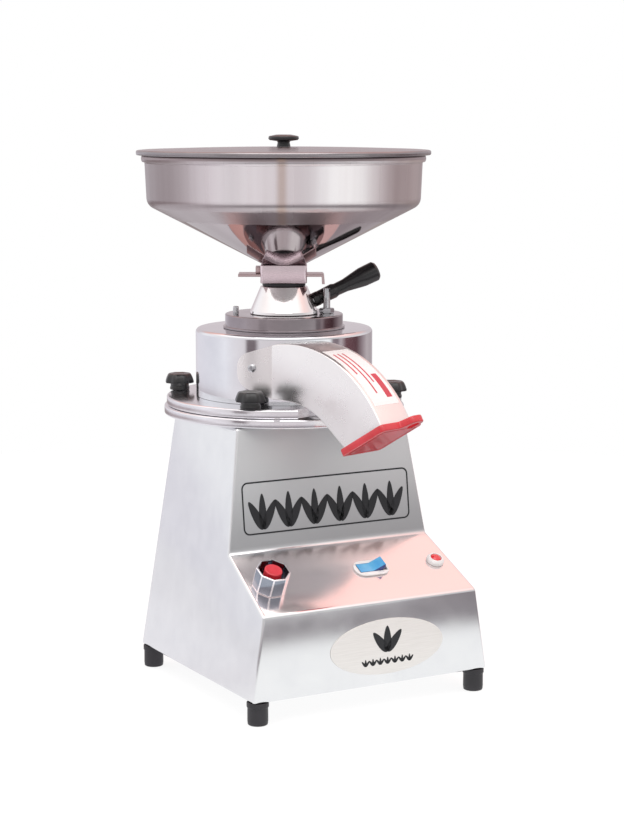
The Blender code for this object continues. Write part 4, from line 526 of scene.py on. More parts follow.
def thicken(bm, points, low, high):
    """Adds a face at the low height and extrudes it to the high one."""
    face = bm.faces.new([bm.verts.new((p[0] * MM, p[1] * MM, low * MM)) for p in points])
    raised = bmesh.ops.extrude_face_region(bm, geom=[face])["geom"]
    moved = [item for item in raised if isinstance(item, bmesh.types.BMVert)]
    bmesh.ops.translate(bm, verts=moved, vec=(0, 0, (high - low) * MM))


def slab(points, low, high, flats=6):
    """Extrudes an outline of (x, y) between two heights."""
    bm = bmesh.new()
    thicken(bm, fillet(points, flats), low, high)
    return bm


def oblong(width, depth, corner=None, x=0.0, y=0.0):
    points = [(x + a * width / 2, y + b * depth / 2) for a, b in ((-1, -1), (1, -1), (1, 1), (-1, 1))]
    return [(*p, corner) for p in points] if corner else points


def many_sided(sides, flats, turn=0.0):
    radius = flats / 2 / math.cos(math.pi / sides)
    angles = [turn + math.tau * i / sides for i in range(sides)]
    return [(radius * math.cos(angle), radius * math.sin(angle)) for angle in angles]


def ellipse(width, depth, count=96):
    angles = [math.tau * i / count for i in range(count)]
    return [(width / 2 * math.cos(angle), depth / 2 * math.sin(angle)) for angle in angles]


def shape(name, bm, matrix=MILL):
    """A plain object from a bmesh, at its place."""
    bmesh.ops.recalc_face_normals(bm, faces=bm.faces)
    mesh = bpy.data.meshes.new(name)
    bm.to_mesh(mesh)
    bm.free()
    obj = bpy.data.objects.new(name, mesh)
    bpy.context.scene.collection.objects.link(obj)
    obj.matrix_world = matrix
    return obj


def loft(name, rings, matrix=MILL):
    """A solid skinned over rings of points, closed at both ends."""
    bm = bmesh.new()
    rings = [[bm.verts.new((x * MM, y * MM, z * MM)) for x, y, z in ring] for ring in rings]
    for before, after in zip(rings, rings[1:]):
        for i in range(len(before)):
            j = (i + 1) % len(before)
            bm.faces.new((before[i], before[j], after[j], after[i]))
    bm.faces.new(rings[-1])
    bm.faces.new(reversed(rings[0]))
    return shape(name, bm, matrix)


def rod(name, radius, low, high, matrix=MILL, steps=48, edge=0.0):
    corner = (edge,) if edge else ()
    outline = [(0, low), (radius, low, *corner), (radius, high, *corner), (0, high)]
    return shape(name, lathe(outline, steps, False, 4), matrix)


def block(name, low, high, matrix=MILL):
    base = [(low[0], low[1]), (high[0], low[1]), (high[0], high[1]), (low[0], high[1])]
    return shape(name, slab(base, low[2], high[2]), matrix)


def combine(target, operation, *others):
    for other in others:
        modifier = target.modifiers.new(operation.lower(), "BOOLEAN")
        modifier.object = other
        modifier.operation = operation
        modifier.solver = "EXACT"
    return target


def cut(target, *others):
    return combine(target, "DIFFERENCE", *others)


def join(target, *others):
    return combine(target, "UNION", *others)


def soften(target, width, segments=3, angle=30):
    modifier = target.modifiers.new("edges", "BEVEL")
    modifier.width = width * MM
    modifier.segments = segments
    modifier.limit_method = "ANGLE"
    modifier.angle_limit = math.radians(angle)
    return target


def helpers_of(obj):
    """The objects that an object's cuts and joins use, and theirs."""
    found = []
    for modifier in obj.modifiers:
        if modifier.type == "BOOLEAN":
            found += [modifier.object, *helpers_of(modifier.object)]
    return found


def bake(obj, crease=32):
    """Turns an object's modifiers and place into plain vertices, and clears away its helpers."""
    bpy.context.view_layer.update()
    graph = bpy.context.evaluated_depsgraph_get()
    mesh = bpy.data.meshes.new_from_object(obj.evaluated_get(graph))
    if not mesh.polygons:
        raise RuntimeError(f"{obj.name} came out empty")
    mesh.transform(obj.matrix_world)
    mesh.shade_smooth()
    mesh.set_sharp_from_angle(angle=math.radians(crease))
    helpers = {helper.name for helper in helpers_of(obj)}
    obj.modifiers.clear()
    obj.data = mesh
    obj.matrix_world = Matrix.Identity(4)
    for name in helpers:
        bpy.data.objects.remove(bpy.data.objects[name])


def settle(obj, finish, *nodes, body="mill", crease=32):
    """Bakes a piece, gives it its finish and hands it to its body."""
    bake(obj, crease)
    obj.data.materials.clear()
    obj.data.materials.append(finish_named(finish))
    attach(obj, body)
    if nodes:
        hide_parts(*nodes)


def start_tree(name, sockets):
    """A geometry node tree with named inputs, and what its group input gives."""
    tree = bpy.data.node_groups.new(name, "GeometryNodeTree")
    tree.interface.new_socket("Geometry", in_out="OUTPUT", socket_type="NodeSocketGeometry")
    for title, kind, default in sockets:
        tree.interface.new_socket(title, in_out="INPUT", socket_type=kind).default_value = default
    tree.interface.new_socket("Material", in_out="INPUT", socket_type="NodeSocketMaterial")
    return tree, tree.nodes.new("NodeGroupInput").outputs


def end_tree(tree, copies, material):
    """Makes a tree's copies real and gives them their material."""
    real = node(tree, "GeometryNodeRealizeInstances", {0: copies.outputs[0]})
    coated = node(tree, "GeometryNodeSetMaterial", {"Geometry": real.outputs[0], "Material": material})
    node(tree, "NodeGroupOutput", {0: coated.outputs[0]})
    return tree


def repeat_tree():
    """Node tree: copies of a flattened ball on a grid."""
    sockets = (
        ("Columns", "NodeSocketInt", 2),
        ("Rows", "NodeSocketInt", 5),
        ("Column pitch", "NodeSocketFloat", 0.072),
        ("Row pitch", "NodeSocketFloat", 0.012),
        ("Size", "NodeSocketVector", (0.02, 0.003, 0.003)),
    )
    tree, given = start_tree("repeat_along", sockets)
    wide = times(tree, math_node(tree, "SUBTRACT", given["Columns"], 1.0), given["Column pitch"])
    tall = times(tree, math_node(tree, "SUBTRACT", given["Rows"], 1.0), given["Row pitch"])
    inputs = {"Size X": wide, "Size Y": tall, "Vertices X": given["Columns"], "Vertices Y": given["Rows"]}
    grid = node(tree, "GeometryNodeMeshGrid", inputs)
    ball = node(tree, "GeometryNodeMeshUVSphere", {"Segments": 24, "Rings": 12, "Radius": 1.0})
    inputs = {"Points": grid.outputs["Mesh"], "Instance": ball.outputs["Mesh"], "Scale": given["Size"]}
    return end_tree(tree, node(tree, "GeometryNodeInstanceOnPoints", inputs), given["Material"])


def thread_tree():
    """Node tree: rounded thread crests, one above another on a stud."""
    sockets = (
        ("Crests", "NodeSocketInt", 10),
        ("Pitch", "NodeSocketFloat", 0.00125),
        ("Radius", "NodeSocketFloat", 0.004),
        ("Crest", "NodeSocketFloat", 0.0005),
    )
    tree, given = start_tree("thread_crests", sockets)
    step = node(tree, "ShaderNodeCombineXYZ", {"Z": given["Pitch"]}).outputs[0]
    line = node(tree, "GeometryNodeMeshLine", {"Count": given["Crests"], "Offset": step})
    path = node(tree, "GeometryNodeCurvePrimitiveCircle", {"Resolution": 40, "Radius": given["Radius"]})
    profile = node(tree, "GeometryNodeCurvePrimitiveCircle", {"Resolution": 8, "Radius": given["Crest"]})
    inputs = {"Curve": path.outputs[0], "Profile Curve": profile.outputs[0]}
    ring = node(tree, "GeometryNodeCurveToMesh", inputs)
    inputs = {"Points": line.outputs["Mesh"], "Instance": ring.outputs[0]}
    return end_tree(tree, node(tree, "GeometryNodeInstanceOnPoints", inputs), given["Material"])


def grow(name, make_tree, tree_name, values, finish, matrix):
    """A piece of the housing made by a node tree, with the tree's inputs set by name."""
    tree = bpy.data.node_groups.get(tree_name) or make_tree()
    values = {**values, "Material": finish_named(finish)}
    obj = shape(name, bmesh.new(), matrix)
    modifier = obj.modifiers.new("nodes", "NODES")
    modifier.node_group = tree
    for item in tree.interface.items_tree:
        if item.in_out == "INPUT":
            modifier[item.identifier] = values[item.name]
    bake(obj)
    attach(obj, "mill")


def thread(name, radius, low, high, pitch, matrix):
    values = {
        "Crests": int((high - low) / pitch),
        "Pitch": pitch * MM,
        "Radius": radius * MM,
        "Crest": pitch * 0.36 * MM,
    }
    grow(name, thread_tree, "thread_crests", values, "screw", matrix @ placed(0, 0, low + pitch / 2))


# Settings that a user would change


class MillBody(bpy.types.PropertyGroup):
    """Sizes of the housing."""

    fold: bpy.props.FloatProperty(
        name="Fold radius", description="Outside radius of the sheet's folds",
        default=3.2 * MM, min=0.5 * MM, max=6 * MM, unit="LENGTH",
    )
    louvre: bpy.props.FloatProperty(
        name="Louvre height", description="How far the back's louvres stand out",
        default=2.6 * MM, min=0.5 * MM, max=6 * MM, unit="LENGTH",
    )
    badge: bpy.props.BoolProperty(
        name="Blank plates", description="Adds the oval plate and the printed frame", default=True
    )


class MillColours(bpy.types.PropertyGroup):
    """Colours of the plastic pieces and the print, used when the materials are first made."""

    cap: bpy.props.FloatVectorProperty(
        name="Cap", description="The cap on the spout",
        default=srgb("D8303C")[:3], min=0, max=1, subtype="COLOR",
    )
    button: bpy.props.FloatVectorProperty(
        name="Push button", description="The guarded overload button",
        default=srgb("DC4150")[:3], min=0, max=1, subtype="COLOR",
    )
    key: bpy.props.FloatVectorProperty(
        name="Rocker key", description="The lit half of the rocker switch",
        default=srgb("6EC3EC")[:3], min=0, max=1, subtype="COLOR",
    )
    lamp: bpy.props.FloatVectorProperty(
        name="Lamp", description="The lamp's lens",
        default=srgb("E0202E")[:3], min=0, max=1, subtype="COLOR",
    )
    ink: bpy.props.FloatVectorProperty(
        name="Ink", description="The frame and the grain ornament",
        default=srgb("1C1E22")[:3], min=0, max=1, subtype="COLOR",
    )
    bars: bpy.props.FloatVectorProperty(
        name="Label bars", description="The bars on the spout's label",
        default=srgb("CF4A58")[:3], min=0, max=1, subtype="COLOR",
    )


class MillLooks(bpy.types.PropertyGroup):
    """Strengths of the studio's lights."""

    sky: bpy.props.FloatProperty(
        name="Surroundings", description="Brightness of what the metal reflects",
        default=1.12, min=0.0, max=4.0,
    )
    key: bpy.props.FloatProperty(
        name="Key light", description="Power of the large soft light above",
        default=22.0, min=0.0, max=400.0, unit="POWER",
    )


def settings():
    return bpy.context.scene.flour_mill_body, bpy.context.scene.flour_mill_looks


# Housing
HOUSING_PROFILE = [(88, 27), (72, 325), (-98, 325), (-116, 179), (-218, 127), (-221, 27)]
LIP = 14
VENT_ROWS, VENT_PITCH, VENT_TOP, VENT_SIDE = 5, 12, 205, 36


def half_width(z):
    return 159 - 43 * (z - 27) / 298


def back_y(z):
    return 88 - 16 * (z - 27) / 298


def back_wall(x, z):
    """A frame on the back wall's outside: X across, Y up it, Z out of it."""
    lean = Matrix.Rotation(math.atan(16 / 298) - math.pi / 2, 4, "X")
    return MILL @ placed(x, back_y(z), z) @ lean @ turned(180, "Z")


def housing_outer():
    """The folded shell's outer skin, open below, with its turned-in lip."""
    bm = bmesh.new()
    left, right = [
        [bm.verts.new((side * half_width(z) * MM, y * MM, z * MM)) for y, z in HOUSING_PROFILE]
        for side in (-1, 1)
    ]
    bm.faces.new(left)
    bm.faces.new(reversed(right))
    for i in range(5):
        bm.faces.new((left[i + 1], left[i], right[i], right[i + 1]))
    rim = [left[0], right[0], right[-1], left[-1]]
    inner = []
    for corner in rim:
        inwards = Vector((math.copysign(LIP * MM, corner.co.x), math.copysign(LIP * MM, corner.co.y), 0))
        inner.append(bm.verts.new(corner.co - inwards))
    for i in range(4):
        j = (i + 1) % 4
        bm.faces.new((rim[i], rim[j], inner[j], inner[i]))
    return bm


def housing():
    shell = soften(shape("housing", housing_outer()), settings()[0].fold / MM, 5, 15)
    wall = shell.modifiers.new("sheet", "SOLIDIFY")
    wall.thickness = 1.5 * MM
    wall.offset = -1
    wall.use_even_offset = True
    for column in (-VENT_SIDE, VENT_SIDE):
        for row in range(VENT_ROWS):
            spot = MILL @ placed(column, back_y(VENT_TOP), VENT_TOP - row * VENT_PITCH) @ turned(90, "X")
            cut(shell, shape("vent", slab(oblong(42, 4, 1.9), -10, 10), spot))
    cut(
        shell,
        rod("spigot_hole", 51, 315, 335, MILL, 96),
        rod("gland_hole", 8.5, -10, 10, back_wall(95, 62)),
        rod("guard_hole", 10.9, -10, 10, GUARD),
        shape("rocker_hole", slab(oblong(41.0, 19.6, 2), -10, 10), ROCKER),
        rod("lamp_hole", 7.8, -10, 10, LAMP),
    )
    settle(shell, "sheet", "housing_shell", crease=24)


def louvres():
    values = {
        "Columns": 2,
        "Rows": VENT_ROWS,
        "Column pitch": 2 * VENT_SIDE * MM,
        "Row pitch": VENT_PITCH * MM,
        "Size": (21.5 * MM, 3.4 * MM, settings()[0].louvre),
    }
    grow("louvre_hoods", repeat_tree, "repeat_along", values, "sheet", back_wall(0, 184.5))


def gland():
    outline = [
        (4, -8), (12, -8, 1), (12, -1.8, 0.6), (8, -1.8), (8, 0.3), (12, 0.3, 0.4), (12, 5, 1.5),
        (6.5, 9, 1), (4, 9),
    ]
    settle(shape("cord_gland_collar", lathe(outline, 48), back_wall(95, 62)), "black", "cord_gland")


def feet():
    outline = [
        (0, 9), (5, 9, 1), (7, 8, 0.5), (7, 0, 0.6), (11.6, 0, 1.6), (12.1, 5, 0.5), (12.0, 20.5, 0.4),
        (12.9, 21.5, 0.5), (12.9, 26.7, 0.6), (0, 26.7),
    ]
    for name in ("front_left", "front_right", "back_left", "back_right"):
        boot = shape(f"boot_{name}", lathe(outline, 72, False), upright_at(f"foot_{name}"))
        settle(boot, "rubber", f"foot_{name}")


def decoration():
    """A plain oval plate and a printed frame, each with a grain ornament and without words."""
    if not settings()[0].badge:
        return
    apron = MILL @ placed(19, -219.62, 73) @ Matrix.Rotation(math.pi / 2 - math.atan2(3, 100), 4, "X")
    settle(soften(shape("oval_badge_plate", slab(ellipse(154, 66), 0.05, 1.0), apron), 0.35), "badge")
    ornament("badge_ornament", apron @ placed(0, 9, 1.05), 1.25, 1)
    ornament("badge_row", apron @ placed(0, -17, 1.05), 0.34, 7)
    tower = MILL @ placed(0, -109.76, 230) @ Matrix.Rotation(math.pi / 2 - math.atan2(18, 146), 4, "X")
    rim = shape("printed_frame", slab(oblong(230, 63, 8), 0.0, 0.12), tower)
    cut(rim, shape("printed_frame_inside", slab(oblong(226.2, 59.2, 6.2), -1, 1), tower))
    settle(rim, "ink")
    ornament("front_ornament", tower @ placed(0, -4.5) @ Matrix.Diagonal((1, 1.42, 1, 1)), 1.2, 6)


def ornament(name, matrix, size, count):
    """A row of plain grain shapes in ink, three to a tuft."""
    bm = bmesh.new()
    for i in range(count):
        for side in (-1, 0, 1):
            x = ((i - (count - 1) / 2) * 29.5 + side * 7.6) * size
            tilt = math.radians(90 - side * 38)
            grain = []
            for angle in [math.tau * step / 24 for step in range(24)]:
                along = 12.5 * size * math.cos(angle)
                across = 4.1 * size * math.sin(angle) * (1 - 0.28 * math.cos(angle))
                y = along * math.sin(tilt) + across * math.cos(tilt) - abs(side) * 2.5 * size
                grain.append((x + along * math.cos(tilt) - across * math.sin(tilt), y))
            thicken(bm, grain, 0, 0.12)
    settle(shape(name, bm, matrix), "ink")


# Deck, drum and ring
KNOB_PROFILE = [
    (17.4, 0.0), (18.4, 0.4), (18.7, 1.4), (18.5, 2.9), (16.9, 7.3), (15.5, 10.1), (14.4, 11.4),
    (13.0, 11.9), (9.5, 11.6), (8.5, 11.2),
]


def deck():
    for name, low, radius in (("deck_plate", DECK, 149), ("chamber_plate", CHAMBER, 146)):
        outline = [(12, low), (radius, low, 2.2), (radius, low + 11, 2.2), (12, low + 11)]
        disc = shape(f"{name}_turned", lathe(outline, 240))
        if name == "chamber_plate":
            cut(disc, block("spout_way", (40, -3, low - 5), (190, 55, low + 20), SPOUT))
        low_corner, high_corner = (-3.5, -160, CHAMBER - 2.2), (3.5, 2.4 - radius, CHAMBER + 1.6)
        cut(disc, block("locating_notch", low_corner, high_corner, MILL @ turned(-31.5, "Z")))
        settle(disc, "plate", name)
    for name in ("front_left", "front_right", "back_right", "back_left"):
        spot = upright_at(f"clamp_knob_{name}")
        low = floor_of(f"clamp_stud_{name}")
        thread(f"stud_thread_{name}", 3.75, low + 9, PLATE - 0.5, 1.25, spot)
        knob(name, spot)


def knob(name, spot):
    """A lobed clamp knob on its round collar, with a dished top."""
    base = PLATE + 0.3
    head = base + 8.5
    rings = []
    for radius, z in KNOB_PROFILE:
        ring = []
        for angle in [math.tau * i / 96 for i in range(96)]:
            wave = 0.5 - 0.5 * math.cos(8 * angle)
            r = radius * (1 - 0.085 * wave * min(1.0, radius / 15))
            ring.append((r * math.cos(angle), r * math.sin(angle), head + z))
        rings.append(ring)
    obj = loft(f"knob_{name}", rings, spot)
    collar = [
        (0, base), (12.2, base, 0.6), (12.4, base + 2.5, 0.5), (11.4, base + 5.5, 1.5),
        (12.6, head + 0.5), (0, head + 0.5),
    ]
    join(obj, shape("knob_collar", lathe(collar, 72, False), spot))
    cut(obj, rod("knob_bore", 4.3, base - 5, head + 8, spot, 32))
    settle(obj, "black", f"clamp_knob_{name}", body=f"clamp_knob_{name}", crease=40)


def drum():
    top = DRUM_TOP
    outline = [(107.5, DRUM), (109.5, DRUM), (109.5, top, 5), (60, top), (60, top - 2), (107.5, top - 2, 3)]
    shell = shape("drum_shell", lathe(outline, 240, flats=8))
    cut(shell, block("outlet_window", (-30, 2.2, PLATE + 11.5), (60, 49.8, PLATE + 69.5), SPOUT))
    settle(shell, "drum", "grinding_drum")


def cover_ring():
    low, top = DRUM_TOP, RING_TOP
    outline = [
        (40.5, low - 6.7), (59.7, low - 6.7), (59.7, low + 0.3), (75.5, low + 0.3, 0.3),
        (75.5, low + 2.8, 1.0), (73, low + 2.8, 0.4), (73, top, 1.6), (40.5, top, 0.5),
    ]
    ring = shape("cover_ring_turned", lathe(outline, 216))
    cut(
        ring,
        rod("stud_hole", 4.7, top - 8.3, top + 5, upright_at("stop_stud")),
        rod("bolt_hole", 4.0, top - 8.3, top + 5, upright_at("cover_bolt")),
    )
    settle(ring, "ring", "cover_ring")


def stop_stud():
    spot, top = upright_at("stop_stud"), RING_TOP
    post = rod("stop_stud_post", 4.15, top - 8, top + 31, spot, 64, 0.7)
    cut(post, block("driver_slot", (-1, -8, top + 26.5), (1, 8, top + 40), spot @ turned(20, "Z")))
    settle(post, "screw", "stop_stud")
    thread("stop_stud_thread", 4.0, top + 6.6, top + 20, 1.25, spot)
    sides = slab(many_sided(6, 16.0), top + 0.3, top + 6.3)
    nut = shape("stop_stud_nut", sides, spot @ turned(-29, "Z"))
    crown = [(0, top), (8.1, top), (9.25, top + 1.1), (9.25, top + 5.4), (8.1, top + 6.6), (0, top + 6.6)]
    combine(nut, "INTERSECT", shape("nut_crown", lathe(crown, 72, False), spot))
    cut(nut, rod("nut_bore", 4.7, top - 5, top + 15, spot))
    settle(nut, "screw", "stop_nut")


def cover_bolt():
    spot, top = upright_at("cover_bolt"), RING_TOP
    settle(rod("cover_bolt_post", 3.5, top - 8, top + 8.5, spot, 48, 0.7), "screw", "cover_bolt")
    thread("cover_bolt_thread", 3.35, top + 0.6, top + 7.4, 1.0, spot)


# Adjuster, gate, hopper and lid


def adjuster():
    low, high = NECK, NECK_TOP
    outline = [
        (38.0, low), (42.3, low, 0.5), (41.7, low + 3.2, 0.6), (28.8, high, 1.2), (15, high, 0.5),
        (15, high - 4), (25.6, high - 4),
    ]
    neck = shape("neck_cone", lathe(outline, 192))
    place = MILL @ turned(-13, "Z") @ placed(42.3 - 14 * 13.5 / 33.5, 0, low + 14) @ turned(90 - 23.5, "Y")
    cut(neck, rod("lever_hole", 5.3, -20, 10, place))
    settle(neck, "neck", "adjuster_neck", body="adjuster")
    settle(rod("lever_core", 5, -7, 55, place, 48, 0.6), "screw", "lever_rod", body="adjuster")
    outline = [
        (0, 1), (8.8, 1, 1.2), (9.0, 8, 0.5), (8.6, 9, 0.5), (9.3, 29.4, 1.0), (8.9, 30.6, 0.8),
        (7.9, 33.5, 1.0), (8.2, 46, 22), (12.2, 70, 26), (12.5, 88.4, 2.6), (9.5, 91.6, 1.2),
        (7, 90.6, 1.5), (0, 90.2),
    ]
    grip = shape("lever_grip_moulded", lathe(outline, 96, False), place)
    cut(grip, rod("grip_bore", 5.3, -10, 55.6, place))
    settle(grip, "black", "lever_grip", body="adjuster")
    seal = lathe([(15, GASKET), (26.6, GASKET, 1.2), (26.6, GASKET + 4.5, 1.2), (15, GASKET + 4.5)], 144)
    settle(shape("gasket_ring", seal), "rubber", "neck_gasket", body="hopper_assembly")


def gate():
    body = shape("gate_block", slab(oblong(57, 54, 4), GATE, GATE + 22), GATE_FRAME)
    soften(body, 0.9)
    join(body, rod("gate_spigot", 14.2, GATE - 7, GATE + 2, GATE_FRAME, 72))
    cut(
        body,
        rod("gate_bore", 8.5, GATE - 20, GATE + 30, GATE_FRAME, 64),
        rod("gate_seat", 15.1, GATE + 13, GATE + 30, GATE_FRAME, 96),
        block("slide_way", (-60, -20.5, GATE + 7), (60, 20.5, GATE + 11), GATE_FRAME),
    )
    settle(body, "block", "gate_housing", body="hopper_assembly")
    low, high = GATE + 7.5, GATE + 10.5
    view = [
        (-56, low, 0.4), (46.5, low, 1.0), (47, low - 9, 0.3), (50.5, low - 9, 0.3), (49.5, high, 3),
        (-56, high, 0.4),
    ]
    slide = soften(shape("slide_plate", slab(view, -20, 20), GATE_FRAME @ turned(90, "X")), 0.5)
    cut(slide, rod("slide_port", 8.5, low - 5, high + 5, GATE_FRAME, 64))
    settle(slide, "slide", "gate_slide", body="grain_gate")
    bar = block("slide_stop", (-34.8, -10, high + 0.3), (-28.8, 10, high + 8.8), GATE_FRAME)
    settle(soften(bar, 0.7), "slide", "gate_stop_bar", body="grain_gate")


def hopper():
    foot, corner, top = HOPPER, HOPPER + 73, HOPPER + 133
    cone = math.atan2(73, 141)
    outline = [
        (13.3, foot - 8.4), (14.5, foot - 8.4), (14.5, foot), (27, foot, 2.5), (168, corner, 14),
        (170.2, top - 8.6, 1.5), (173.6, top - 7.6, 1.2), (174.5, top - 4, 2.2), (173.8, top, 2.0),
        (169.3, top, 1.0), (166.8, corner + 1.2 * math.sin(cone), 12.8), (25, foot + 1.2 / math.cos(cone)),
        (13.3, foot + 2),
    ]
    spun = shape("hopper_spun", lathe(outline, 288, flats=10))
    settle(spun, "hopper", "hopper", body="hopper_assembly", crease=38)


def lid():
    """The domed lid, 1.2 thick, with a rolled edge and a skirt inside the hopper."""
    low = LID
    flange, reach, height = low + 6.5, 168.2, 3.2
    crown = flange + height
    radius = (reach**2 + height**2) / (2 * height)
    steps = [reach * (1 - i / 12) for i in range(12)]
    dome = [(r, crown - radius + math.sqrt(radius**2 - r**2)) for r in steps]
    rim = [(172, flange), (180.5, flange - 0.7, 2.4), (180.5, low, 1.8), (168, low), (168, low - 7)]
    outline = [(0, crown), *reversed(dome), *fillet(rim, 6)[:-1]]
    outline += [(168, low - 7), (166.8, low - 7), (166.8, flange - 1.4)]
    outline += [(r, z - 1.2) for r, z in dome if r < 160]
    outline += [(0, crown - 1.2)]
    settle(shape("lid_dome", lathe(outline, 288, False)), "lid", "lid", body="hopper_lid", crease=38)


def lid_knob():
    z = LID_KNOB
    outline = [
        (0, z), (8.6, z, 0.4), (7.4, z + 5, 1.5), (8.2, z + 6.6, 1), (17.2, z + 7.9, 0.8),
        (18.8, z + 9.6, 1.0), (18.4, z + 12.7, 1.8), (9, z + 14.6, 2), (0, z + 14.6),
    ]
    moulding = shape("lid_knob_moulded", lathe(outline, 96, False))
    settle(moulding, "black", "lid_knob", body="hopper_lid", crease=40)


# Spout and cap, in a side view: u along the duct's foot, z above the plate
SPOUT_WIDTH = 52.0
TOP_END, FLOOR_END = 176.0, 120.5
TOP_BEND, FLOOR_BEND = 160, 100


def spout_top(u):
    return 76.8 - TOP_BEND + math.sqrt(TOP_BEND**2 - (u - 35) ** 2)


def spout_floor(u):
    slope = math.radians(38)
    bend = FLOOR_BEND * math.sin(slope)
    run = u - 25
    arc = min(max(run, 0), bend)
    drop = FLOOR_BEND - math.sqrt(FLOOR_BEND**2 - arc**2)
    return 8.0 - drop - max(run - bend, 0) * math.tan(slope)


def mouth():
    """The mouth's top and bottom edges on the duct's near side, and the way up and the way out of it."""
    top = Vector((TOP_END, 0, PLATE + spout_top(TOP_END)))
    bottom = Vector((FLOOR_END, 0, PLATE + spout_floor(FLOOR_END)))
    up = (top - bottom).normalized()
    return top, bottom, up, Vector((0, 1, 0)).cross(up)


def spout_sides(offset, start, steps, extend=0.0):
    """The duct's side view, offset inwards, carried on past its mouth when asked."""
    out = mouth()[3] * extend
    top = [start + (TOP_END - start) * i / steps for i in range(steps + 1)]
    floor = [FLOOR_END + (start - FLOOR_END) * i / steps for i in range(steps + 1)]
    points = [(u, spout_top(u) - offset) for u in top]
    low = [(u, spout_floor(u) + offset) for u in floor]
    if extend:
        points += [(u + out.x, z + out.z) for u, z in (points[-1], low[0])]
    return points + low


def seat_angle(side):
    """Where the near or far side of the duct meets the drum, in radians about the spindle."""
    turn = math.radians(17)
    start = Vector((-math.sin(SPOUT_TURN), -math.cos(SPOUT_TURN))) * SPOUT_SEAT
    start += Vector((math.cos(turn), math.sin(turn))) * (0 if side > 0 else SPOUT_WIDTH)
    along = Vector((math.sin(turn), -math.cos(turn)))
    b, c = start.dot(along), start.dot(start) - SPOUT_SEAT**2
    meet = start + along * (-b + math.sqrt(b * b - c))
    return math.atan2(meet.y, meet.x)


def spout_tab(side):
    """A tab bent round the drum, tapered to a round free end."""
    rings = []
    for share in [column / 40 for column in range(41)]:
        ease = math.sqrt(max(0.0, 1 - ((share - 0.72) / 0.28) ** 2)) if share > 0.72 else 1.0
        low, high = [
            41.75 + (z - 41.75) * (0.25 + 0.75 * ease) for z in (8.0 + 16.5 * share, 73 - 14 * share)
        ]
        angle = seat_angle(side) - side * math.radians(22.9) * share + side * 0.012 * (1 - share)
        corners = ((109.82, low), (SPOUT_SEAT, low), (SPOUT_SEAT, high), (109.82, high))
        rings.append([(r * math.cos(angle), r * math.sin(angle), PLATE + z) for r, z in corners])
    return loft("spout_tab", rings)


def spout():
    upright = SPOUT @ placed(0, 0, PLATE) @ turned(90, "X")
    duct = shape("spout_folded", slab(spout_sides(0, -2, 40), -SPOUT_WIDTH, 0), upright)
    soften(duct, 1.6, 4, 60)
    join(duct, spout_tab(1), spout_tab(-1))
    hollow = shape("spout_hollow", slab(spout_sides(1.2, -50, 44, 20), 1.2 - SPOUT_WIDTH, -1.2), upright)
    soften(hollow, 0.6, 2, 60)
    cut(duct, hollow, rod("drum_trim", 109.82, DRUM - 40, DRUM_TOP + 40, MILL, 360))
    settle(duct, "spout", "spout_duct", crease=30)


def strip(name, start, end, near, far, low, high, finish, steps):
    """A thin strip bent over the spout's top sheet."""
    rings = []
    for u in [start + (end - start) * step / steps for step in range(steps + 1)]:
        away = Vector(((u - 35) / TOP_BEND, 0, math.sqrt(1 - ((u - 35) / TOP_BEND) ** 2)))
        base = Vector((u, 0, PLATE + spout_top(u)))
        corners = ((near, low), (far, low), (far, high), (near, high))
        rings.append([base + Vector((0, v, 0)) + away * lift for v, lift in corners])
    settle(loft(name, rings, SPOUT), finish)


def label():
    """A blank paper label that follows the spout's top, with plain bars in place of print."""
    strip("spout_label", 78, 161, 5, 47, 0.06, 0.16, "label", 40)
    for i, end in enumerate((126, 150, 138)):
        strip(f"label_bar_{i}", 88, end, 12 + i * 7.5, 14.4 + i * 7.5, 0.17, 0.22, "red_ink", 24)
    strip("label_panel", 128, 155, 33, 42, 0.17, 0.22, "red_ink", 16)


def tab_screws():
    outline = [(0, -4.5), (2, -4.5), (2, 0.3), (5.2, 0.3, 0.3), (5.1, 1.3, 0.6), (2.8, 2.5, 1.2), (0, 2.7)]
    for side, name in ((1, "near"), (-1, "far")):
        angle = seat_angle(side) - side * math.radians(12.6)
        spot = placed(SPOUT_SEAT * math.cos(angle), SPOUT_SEAT * math.sin(angle), PLATE + 45)
        spot = MILL @ spot @ Matrix.Rotation(angle, 4, "Z") @ turned(90, "Y")
        head = shape(f"tab_screw_{name}", lathe(outline, 64, False), spot)
        cut(
            head,
            block("recess_a", (-0.5, -2.6, 0.9), (0.5, 2.6, 4), spot),
            block("recess_b", (-2.6, -0.5, 0.9), (2.6, 0.5, 4), spot),
        )
        settle(head, "screw", f"spout_screw_{name}")


